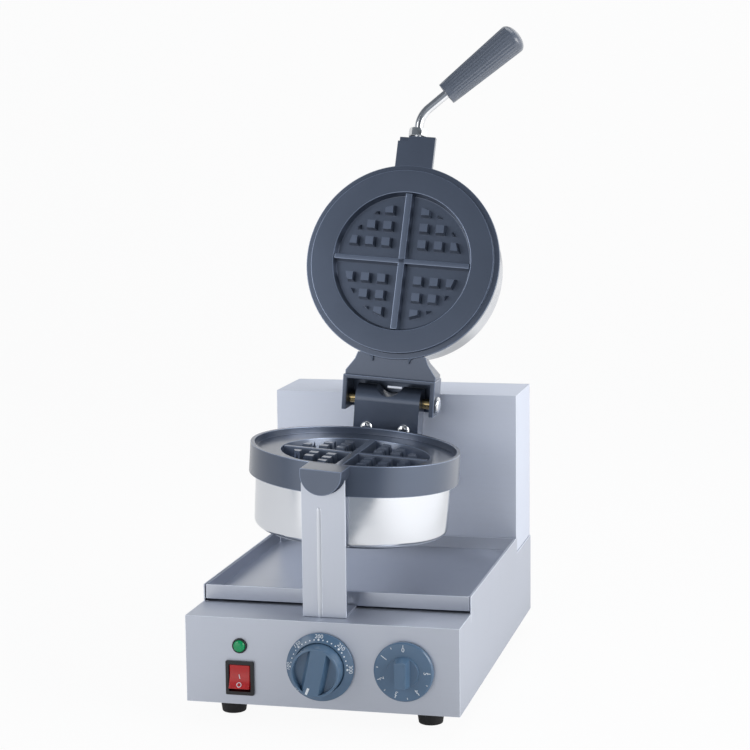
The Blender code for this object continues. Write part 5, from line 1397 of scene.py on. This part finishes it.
def base_screws():
    """The pan heads on the base: feet, rear panel, bearing, earth, and the post's two bolts."""
    height = PAN[1]
    spots = [seated(node, 2, -1, height) for node in FOOT_SCREWS]
    spots += [seated(node, 1, 1, height) for node in [*PANEL_SCREWS, "earth_screw"]]
    spots += [seated(node, 1, -1, height) for node in BEARING_SCREWS]
    small = fastened("base_screws", head_shape("pan_head", "pan", *PAN, PAN_REACH), spots)
    spots = [seated(node, 2, 1, BOLT[1]) for node in ("support_bolt_left", "support_bolt_right")]
    return small, fastened("post_bolts", head_shape("bolt_head", "pan", *BOLT, BOLT_REACH), spots)


def head_screws():
    """The screws that hold the hinge block, from below and from the front."""
    below = HEAD.to_3x3() @ Vector((0, 0, -1))
    ahead = HEAD.to_3x3() @ Vector((0, -1, 0))
    seat = NECK[0][2] - SEAT
    spots = [(HEAD @ Vector((side * NECK_ASIDE, HINGE_LOCAL.y, seat)), below) for side in (-1, 1)]
    small = fastened("neck_screws", head_shape("pan_head", "pan", *PAN, NECK_REACH), spots)
    face = HINGE_LOCAL.y - KNUCKLE_RADIUS - SEAT
    spots = [(HEAD @ Vector((side * LUG_ASIDE, face, LUG_LOW)), ahead) for side in (-1, 1)]
    return small, fastened("lug_screws", head_shape("lug_head", "pan", *LUG, LUG_REACH), spots)


def hinge_bolt():
    """The domed hinge bolt, screwed into the far arm, and the brass bushes beside the block."""
    radius, height = HINGE_HEAD
    seat = CLEVIS_OUTER + SEAT
    crown = dome(radius, (1 - HINGE_FOOT) * height, seat + HINGE_FOOT * height, 10)
    tail = SEAT - CLEVIS_OUTER
    shank = [(radius, seat), (HINGE_SHANK, seat), (HINGE_SHANK, tail), (0, tail)]
    across = HINGE @ aimed((0, 0, 0), (1, 0, 0))
    bolt = make("hinge_bolt", lathe([*crown, *shank], 64), "zinc", across, HINGE_BEVEL)
    low, high = BLOCK_HALF_WIDTH + SEAT, CLEVIS_OUTER - CLEVIS_ARM - SEAT
    inner, outer = BUSH
    rings = []
    for side in (-1, 1):
        outline = [(inner, high), (outer, high), (outer, low), (inner, low)]
        place = HINGE @ aimed((0, 0, 0), (side, 0, 0))
        rings.append(turned("bush", outline, "brass", place))
    return bolt, rings


def handle_nut():
    """The lock nut where the rod enters the lid."""
    across = ROD_ROOT.to_3x3() @ Vector((0, 1, 0))
    spots = [(ROD_ROOT @ Vector((0, SEAT, 0)), across)]
    return fastened("handle_nut", head_shape("rod_nut_shape", "hexagon", *ROD_NUT, ROD_NUT_REACH), spots)


def feet():
    """Four rubber feet, by Geometry Nodes on their centres."""
    low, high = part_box(FEET[0])
    radius = (high[0] - low[0]) / 2
    tall = high[2] - low[2]
    wide, deep = FOOT_WELL
    outline = [(FOOT_HOLE, 0), (radius, 0), (radius, -tall / 2), (radius - FOOT_EDGE, -tall), (wide, -tall),
               (wide, deep - tall), (FOOT_HOLE, deep - tall)]
    shape = turned("foot", outline, "rubber")
    return fastened("feet", shape, [(end_of(node, 2, 1), Vector((0, 0, 1))) for node in FEET])


# Sheets and rear fittings

BEADS = 150
BEAD_PLACE = -0.0042
BEAD_PROUD = 0.0005
BEAD_OVERLAP = 6.0
BEAD_WOBBLE = {2: 0.96, 3: 1.04, "Seed": 7}
GLAND_NUT = 0.0115
GLAND_CAP = 0.0090
GLAND_COLLAR = 0.0065
GLAND_HOLE = 0.0042
GLAND_EDGE = 0.0018
GLAND_BEVEL = 0.0005


def weld_bead(sizes):
    """The ground weld down the post's face: beads that overlap into a band, by Geometry Nodes."""
    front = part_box("front_support")[0][1]
    tall = sizes.bead_high - sizes.bead_low
    recipe = Recipe("weld_bead", shelf.get("bead"), width=sizes.bead_width, tall=tall, count=BEADS)
    count = recipe["Count"]
    inputs = {"Count": count, "Start Location": (0, 0, 0), "Offset": recipe.vector(z=recipe["Tall"])}
    line = recipe.node("GeometryNodeMeshLine", {"mode": "END_POINTS"}, inputs)
    pitch = recipe["Tall"] / count
    bead = recipe.step("MeshUVSphere", Segments=16, Rings=8, Radius=1.0)
    wobble = recipe.node("FunctionNodeRandomValue", {"data_type": "FLOAT"}, BEAD_WOBBLE, 1)
    scale = recipe.vector(recipe["Width"] * 0.5 * wobble, BEAD_PROUD, pitch * BEAD_OVERLAP)
    shown = recipe.step("InstanceOnPoints", Points=line, Instance=bead, Scale=scale)
    place = shift(BEAD_PLACE, front, BASE_LOW[2] + sizes.bead_low)
    return shaded(recipe.grow("weld_bead", shown, place), math.radians(60))


def gland():
    """The cord's inlet: a hexagon nut, a ribbed cap and a rubber collar, all hollow."""
    low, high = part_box("cable_gland")
    centre = ((low[0] + high[0]) / 2, BASE_HIGH[1], (low[2] + high[2]) / 2)
    place = aimed(centre, (0, 1, 0))
    reach = high[1] - BASE_HIGH[1]
    inside = low[1] - BASE_HIGH[1]
    nut = make("gland", prism(circle(GLAND_NUT, 6), SEAT, reach / 2), "black", place, GLAND_BEVEL)
    foot = reach / 2 - WALL
    outline = [(GLAND_HOLE, reach), (GLAND_COLLAR, reach), (GLAND_CAP, reach - GLAND_EDGE), (GLAND_CAP, foot),
               (GLAND_COLLAR, foot), (GLAND_COLLAR, inside), (GLAND_HOLE, inside)]
    cap = turned("gland_cap", outline, "black", place)
    room = GLAND_COLLAR - WALL / 2
    bore = lathe([(0, 2 * reach), (room, 2 * reach), (room, -WALL), (0, -WALL)], 32)
    trim(nut, [make("bore", bore, place=place)])
    return merged("gland", [shaded(nut), cap])


# Stage

CAMERA_PLACE = Vector((0.455065, FRONT_Y - 1.672803, BASE_LOW[2] + 0.537928))
CAMERA_AZIMUTH = math.radians(13.5465)
CAMERA_ELEVATION = math.radians(7.8884)
CAMERA_ROLL = math.radians(-0.61224)
CAMERA_LENS = 97.12
LAMPS_AIM = Vector((0, 0, 0.3))
LAMPS = {
    "key": ((1.9, -0.5, 1.0), (1.5, 1.2), 24, (1, 0.99, 0.98)),
    "fill": ((-1.5, -1.6, 1.2), (1.2, 1.2), 11, (0.97, 0.98, 1)),
    "top": ((0.1, 0.5, 2.2), (1.6, 1.2), 12, (1, 1, 1)),
}
FLOOR = {"back": 2.6, "front": -0.62, "wide": 4.0, "bend": 0.9, "tall": 3.2}
FLOOR_REFLECTED_GLOW = 0.9
FLOOR_GLOW_BANDS = ((-0.22, 0.02, -0.45), (0.08, 0.20, 0.55), (0.35, 0.6, 0.5))
FLOOR_SEEN = 0.94
FLOOR_GLOSSY = 0.6
SKY_GAP = ((-0.10, 0.14), (0.60, 0.95))
SKY_RIGHT = ((0.70, 1.05), (2.15, 2.45))
SKY_FRONT = ((-1.15, -0.75), (-0.14, 0.06))
SKY_FRONT_TOP = (0.30, 0.46)
SKY_CEILING = (0.20, 0.46)
WALL_LIGHT = 0.60
RIGHT_LIGHT = 0.65
FRONT_LIGHT = 0.56
GAP_SHADE = 0.25
CEILING_SHADE = 0.68


def camera():
    """A camera at the photograph's place, aim and lens."""
    flat = math.cos(CAMERA_ELEVATION)
    level = Vector((math.cos(CAMERA_AZIMUTH), math.sin(CAMERA_AZIMUTH), 0))
    ahead = Vector((-level.y * flat, level.x * flat, -math.sin(CAMERA_ELEVATION)))
    up = level.cross(ahead)
    right = level * math.cos(CAMERA_ROLL) + up * math.sin(CAMERA_ROLL)
    top = up * math.cos(CAMERA_ROLL) - level * math.sin(CAMERA_ROLL)
    made = linked("camera", bpy.data.cameras.new("camera"))
    turn = Matrix((right, top, -ahead)).transposed().to_4x4()
    made.matrix_world = Matrix.Translation(CAMERA_PLACE) @ turn
    made.data.lens = CAMERA_LENS
    made.data.sensor_width = 36
    bpy.context.scene.camera = made


def softbox(name, place, size, power, tint):
    """A rectangular lamp that looks at the object's middle."""
    data = bpy.data.lights.new(name, "AREA")
    data.shape = "RECTANGLE"
    data.size, data.size_y = size
    data.energy = power
    data.color = tint
    made = linked(name, data)
    away = Vector(place) - LAMPS_AIM
    made.matrix_world = Matrix.Translation(place) @ away.to_track_quat("Z", "Y").to_matrix().to_4x4()


def floor():
    """The pale floor, which rises behind the object as one sweep and shows as plain white."""
    back, front, wide, bend, tall = FLOOR.values()
    sweep = arc(bend, -QUARTER, 0, 16, (back - bend, bend))
    curve = [(front, 0), *sweep, (back, tall)]
    solid = bmesh.new()
    rows = [[solid.verts.new((side * wide, y, FLOOR_HEIGHT + z)) for side in (-1, 1)] for y, z in curve]
    for first, second in zip(rows, rows[1:]):
        solid.faces.new((first[0], first[1], second[1], second[0]))
    made = Finish("floor", roughness=0.75)
    grain = made.noise(60.0, 2.0)
    made.paint("Base Color", made.tones(grain, bpy.context.scene.baker_colours.floor, 0.985))
    seen = made.node("ShaderNodeLightPath", output="Is Camera Ray")
    glossy = made.node("ShaderNodeLightPath", output="Is Glossy Ray")
    across = made.parts(made.coordinates)[0]
    # What reflections see of the floor: a glow, darker and brighter in bands across x, that lights the
    # metal's reflections.
    reflected_glow = FLOOR_REFLECTED_GLOW
    for low, high, share in FLOOR_GLOW_BANDS:
        reflected_glow = across.rise(low, high) * share + reflected_glow
    shown = seen * FLOOR_SEEN + glossy * FLOOR_GLOSSY
    glow = made.node("ShaderNodeEmission", inputs={"Color": (1, 1, 1, 1), "Strength": seen + glossy * reflected_glow})
    lit = Value(made, made.shader.outputs[0])
    mixed = made.node("ShaderNodeMixShader", inputs={0: shown, 1: lit, 2: glow})
    leave = next(node for node in made.tree.nodes if node.type == "OUTPUT_MATERIAL")
    made.tree.links.new(mixed.socket, leave.inputs["Surface"])
    data = mesh_of("floor", solid)
    data.materials.append(made.material)
    data.shade_smooth()
    piece = linked("floor", data)


def world():
    """A studio all round: pale walls, a dark ceiling and a dark gap in front that metal can show."""
    made = bpy.data.worlds.new("studio")
    made.use_nodes = True
    bpy.context.scene.world = made
    sky = Nodes()
    sky.tree = made.node_tree
    aim = sky.node("ShaderNodeTexCoord", output="Generated")
    across, back, height = sky.parts(aim)
    turn = across.maths("ARCTAN2", back * -1.0)
    gap, right, front = (turn.band(*band) for band in (SKY_GAP, SKY_RIGHT, SKY_FRONT))
    front = front * (1.0 - height.rise(*SKY_FRONT_TOP))
    walls = right * RIGHT_LIGHT + front * FRONT_LIGHT + WALL_LIGHT - gap * GAP_SHADE
    ceiling = 1.0 - height.rise(*SKY_CEILING) * CEILING_SHADE
    seen = sky.node("ShaderNodeLightPath", output="Is Camera Ray")
    strength = walls * ceiling * (1.0 - seen) + seen
    background = sky.tree.nodes["Background"]
    tint = sky.node("ShaderNodeMix", {"data_type": "RGBA"}, {
        0: strength.rise(0.2, 1.0), 6: (0.78, 0.87, 1.0, 1), 7: (1, 1, 1, 1)}, 2)
    sky.tree.links.new(tint.socket, background.inputs["Color"])
    sky.tree.links.new(strength.socket, background.inputs["Strength"])


# Operators

SHEETS = {
    "base_housing": ("sheet", "base", "base_steel"),
    "back_box": ("box", "base", "base_steel"),
    "rear_panel": ("sheet", "base", "base_steel"),
    "bottom_plate": ("sheet", "base", "base_steel"),
    "drip_tray": ("tray", "tray", "tray_steel"),
    "front_support": ("post", "base", "support_steel"),
}


class BAKER_OT_sheets(bpy.types.Operator):
    """Build the folded sheets of the base, the back box, the tray and the post"""

    bl_idname = "baker.sheets"
    bl_label = "Sheets"

    def execute(self, context):
        width = context.scene.baker_sheets.bend / 2.5
        for node, (finish, body, slot) in SHEETS.items():
            fit(softened("dressed_" + node, node, width, finish), body, slot, node)
        fit(weld_bead(context.scene.baker_sheets), "base", "support_steel")
        return {"FINISHED"}


class BAKER_OT_castings(bpy.types.Operator):
    """Build the two castings with their recesses, bars and pegs"""

    bl_idname = "baker.castings"
    bl_label = "Castings"

    def execute(self, context):
        sizes = context.scene.baker_castings
        fit(lower_casting(sizes), "head", "nonstick", "lower_plate")
        fit(upper_casting(sizes, context.scene.baker_pots), "lid", "nonstick", "upper_plate")
        fit(hinge_block(), "head", "nonstick", "hinge_block")
        return {"FINISHED"}


class BAKER_OT_pots(bpy.types.Operator):
    """Build the two polished drum covers"""

    bl_idname = "baker.pots"
    bl_label = "Pots"

    def execute(self, context):
        sizes = context.scene.baker_pots
        castings = context.scene.baker_castings
        top = -castings.skirt - SEAT
        fit(drum_cover("lower_drum", sizes, HEAD, top), "head", "polished_steel", "lower_pot")
        top = -castings.disc_step - castings.flange - SEAT
        fit(drum_cover("upper_drum", sizes, LID_FACE, top), "lid", "polished_steel", "upper_pot")
        return {"FINISHED"}


class BAKER_OT_handle(bpy.types.Operator):
    """Build the bent rod, its nut and the fluted grip"""

    bl_idname = "baker.handle"
    bl_label = "Handle"

    def execute(self, context):
        sizes = context.scene.baker_grip
        fit(rod(sizes), "lid", "rod_chrome", "handle_rod")
        fit(grip(sizes), "lid", "grip_plastic", "handle_grip")
        fit(handle_nut(), "lid", "zinc", "handle_nut")
        return {"FINISHED"}


class BAKER_OT_knobs(bpy.types.Operator):
    """Build the thermostat's dial and knob and the timer's knob, with their marks"""

    bl_idname = "baker.knobs"
    bl_label = "Knobs"

    def execute(self, context):
        sizes = context.scene.baker_knobs
        disc, marks = dial(sizes)
        fit(disc, "base", "knob_plastic", "thermostat_dial")
        fit(marks, "base", "knob_plastic")
        knob, pointer = thermostat_knob(sizes)
        fit(knob, "thermostat", "knob_plastic", "thermostat_knob")
        fit(pointer, "thermostat", "knob_plastic")
        knob, marks = timer_knob(sizes)
        fit(knob, "timer", "knob_plastic", "timer_knob")
        fit(marks, "timer", "knob_plastic")
        return {"FINISHED"}


class BAKER_OT_switch(bpy.types.Operator):
    """Build the rocker switch and the lamp"""

    bl_idname = "baker.switch"
    bl_label = "Switch and lamp"

    def execute(self, context):
        fit(switch_bezel(), "base", "black_plastic", "switch_bezel")
        body, marks = rocker()
        fit(body, "rocker", "rocker_red", "switch_rocker")
        fit(marks, "rocker", "rocker_red")
        ring, lens = lamp()
        fit(ring, "base", "black_plastic", "lamp_bezel")
        fit(lens, "base", "lamp_green", "lamp_lens")
        return {"FINISHED"}


class BAKER_OT_fasteners(bpy.types.Operator):
    """Build every screw, bolt and nut, the bushes, the feet and the cord's gland"""

    bl_idname = "baker.fasteners"
    bl_label = "Fasteners and feet"

    def execute(self, context):
        small, large = base_screws()
        fit(small, "base", "zinc", *FOOT_SCREWS, *PANEL_SCREWS, "earth_screw", *BEARING_SCREWS)
        fit(large, "base", "zinc", "support_bolt_left", "support_bolt_right")
        small, large = head_screws()
        fit(small, "head", "zinc", "neck_screw_left", "neck_screw_right")
        fit(large, "head", "zinc", "lug_screw_left", "lug_screw_right")
        bolt, rings = hinge_bolt()
        fit(bolt, "lid", "zinc", "hinge_bolt")
        for side, ring in zip(("left", "right"), rings):
            fit(ring, "lid", "bush_brass", "bush_" + side)
        fit(feet(), "base", "foot_rubber", *FEET)
        fit(gland(), "base", "black_plastic", "cable_gland")
        return {"FINISHED"}


KEPT = {
    "shaft": ("rotary_shaft", "shaft_collar", "bearing_housing"),
    "heater": ("upper_heater", "lower_heater"),
    "zinc": ("support_nut_left", "support_nut_right", "upper_pot_bolt", "lower_pot_bolt"),
    "white": ("thermostat_body", "timer_body", "terminal_block"),
}


class BAKER_OT_kept(bpy.types.Operator):
    """Give the CAD pieces that stay in view their finishes"""

    bl_idname = "baker.kept"
    bl_label = "Kept CAD pieces"

    def execute(self, context):
        for finish, nodes in KEPT.items():
            for node in nodes:
                for place in frame["nodes"][node].material_slots:
                    place.material = shelf.get(finish)
        return {"FINISHED"}


class BAKER_OT_stage(bpy.types.Operator):
    """Build the floor, the sky, the lamps and the camera"""

    bl_idname = "baker.stage"
    bl_label = "Stage"

    def execute(self, context):
        context.scene.view_settings.view_transform = "Standard"
        floor()
        world()
        camera()
        for name, settings in LAMPS.items():
            softbox(name, *settings)
        return {"FINISHED"}


class BAKER_PT_panel(bpy.types.Panel):
    """The sidebar's list of pieces, sizes and colours"""

    bl_idname = "BAKER_PT_panel"
    bl_label = "Waffle baker"
    bl_space_type = "VIEW_3D"
    bl_region_type = "UI"
    bl_category = "Baker"

    def draw(self, context):
        for operator in OPERATORS:
            self.layout.operator(operator.bl_idname)
        for key, group in GROUPS.items():
            column = self.layout.column(heading=group.__doc__.rstrip("."))
            for name in group.__annotations__:
                column.prop(getattr(context.scene, key), name)


GROUPS = {"baker_sheets": SheetSizes, "baker_castings": CastingSizes, "baker_pots": PotSizes,
          "baker_knobs": KnobSizes, "baker_grip": GripSizes, "baker_colours": Colours}
OPERATORS = (BAKER_OT_stage, BAKER_OT_sheets, BAKER_OT_castings, BAKER_OT_pots, BAKER_OT_handle,
             BAKER_OT_knobs, BAKER_OT_switch, BAKER_OT_fasteners, BAKER_OT_kept)


def register():
    """Register the classes and hang the property groups on the scene."""
    for item in (*GROUPS.values(), *OPERATORS, BAKER_PT_panel):
        bpy.utils.register_class(item)
    for name, group in GROUPS.items():
        setattr(bpy.types.Scene, name, PointerProperty(type=group))


def unregister():
    """Take the property groups and the classes away again."""
    for name in GROUPS:
        delattr(bpy.types.Scene, name)
    for item in (*GROUPS.values(), *OPERATORS, BAKER_PT_panel):
        bpy.utils.unregister_class(item)


def main():
    """Build everything in order and write the two boxes that are compared."""
    register()
    for operator in OPERATORS:
        group, name = operator.bl_idname.split(".")
        getattr(getattr(bpy.ops, group), name)()


if __name__ == "__main__":
    main()
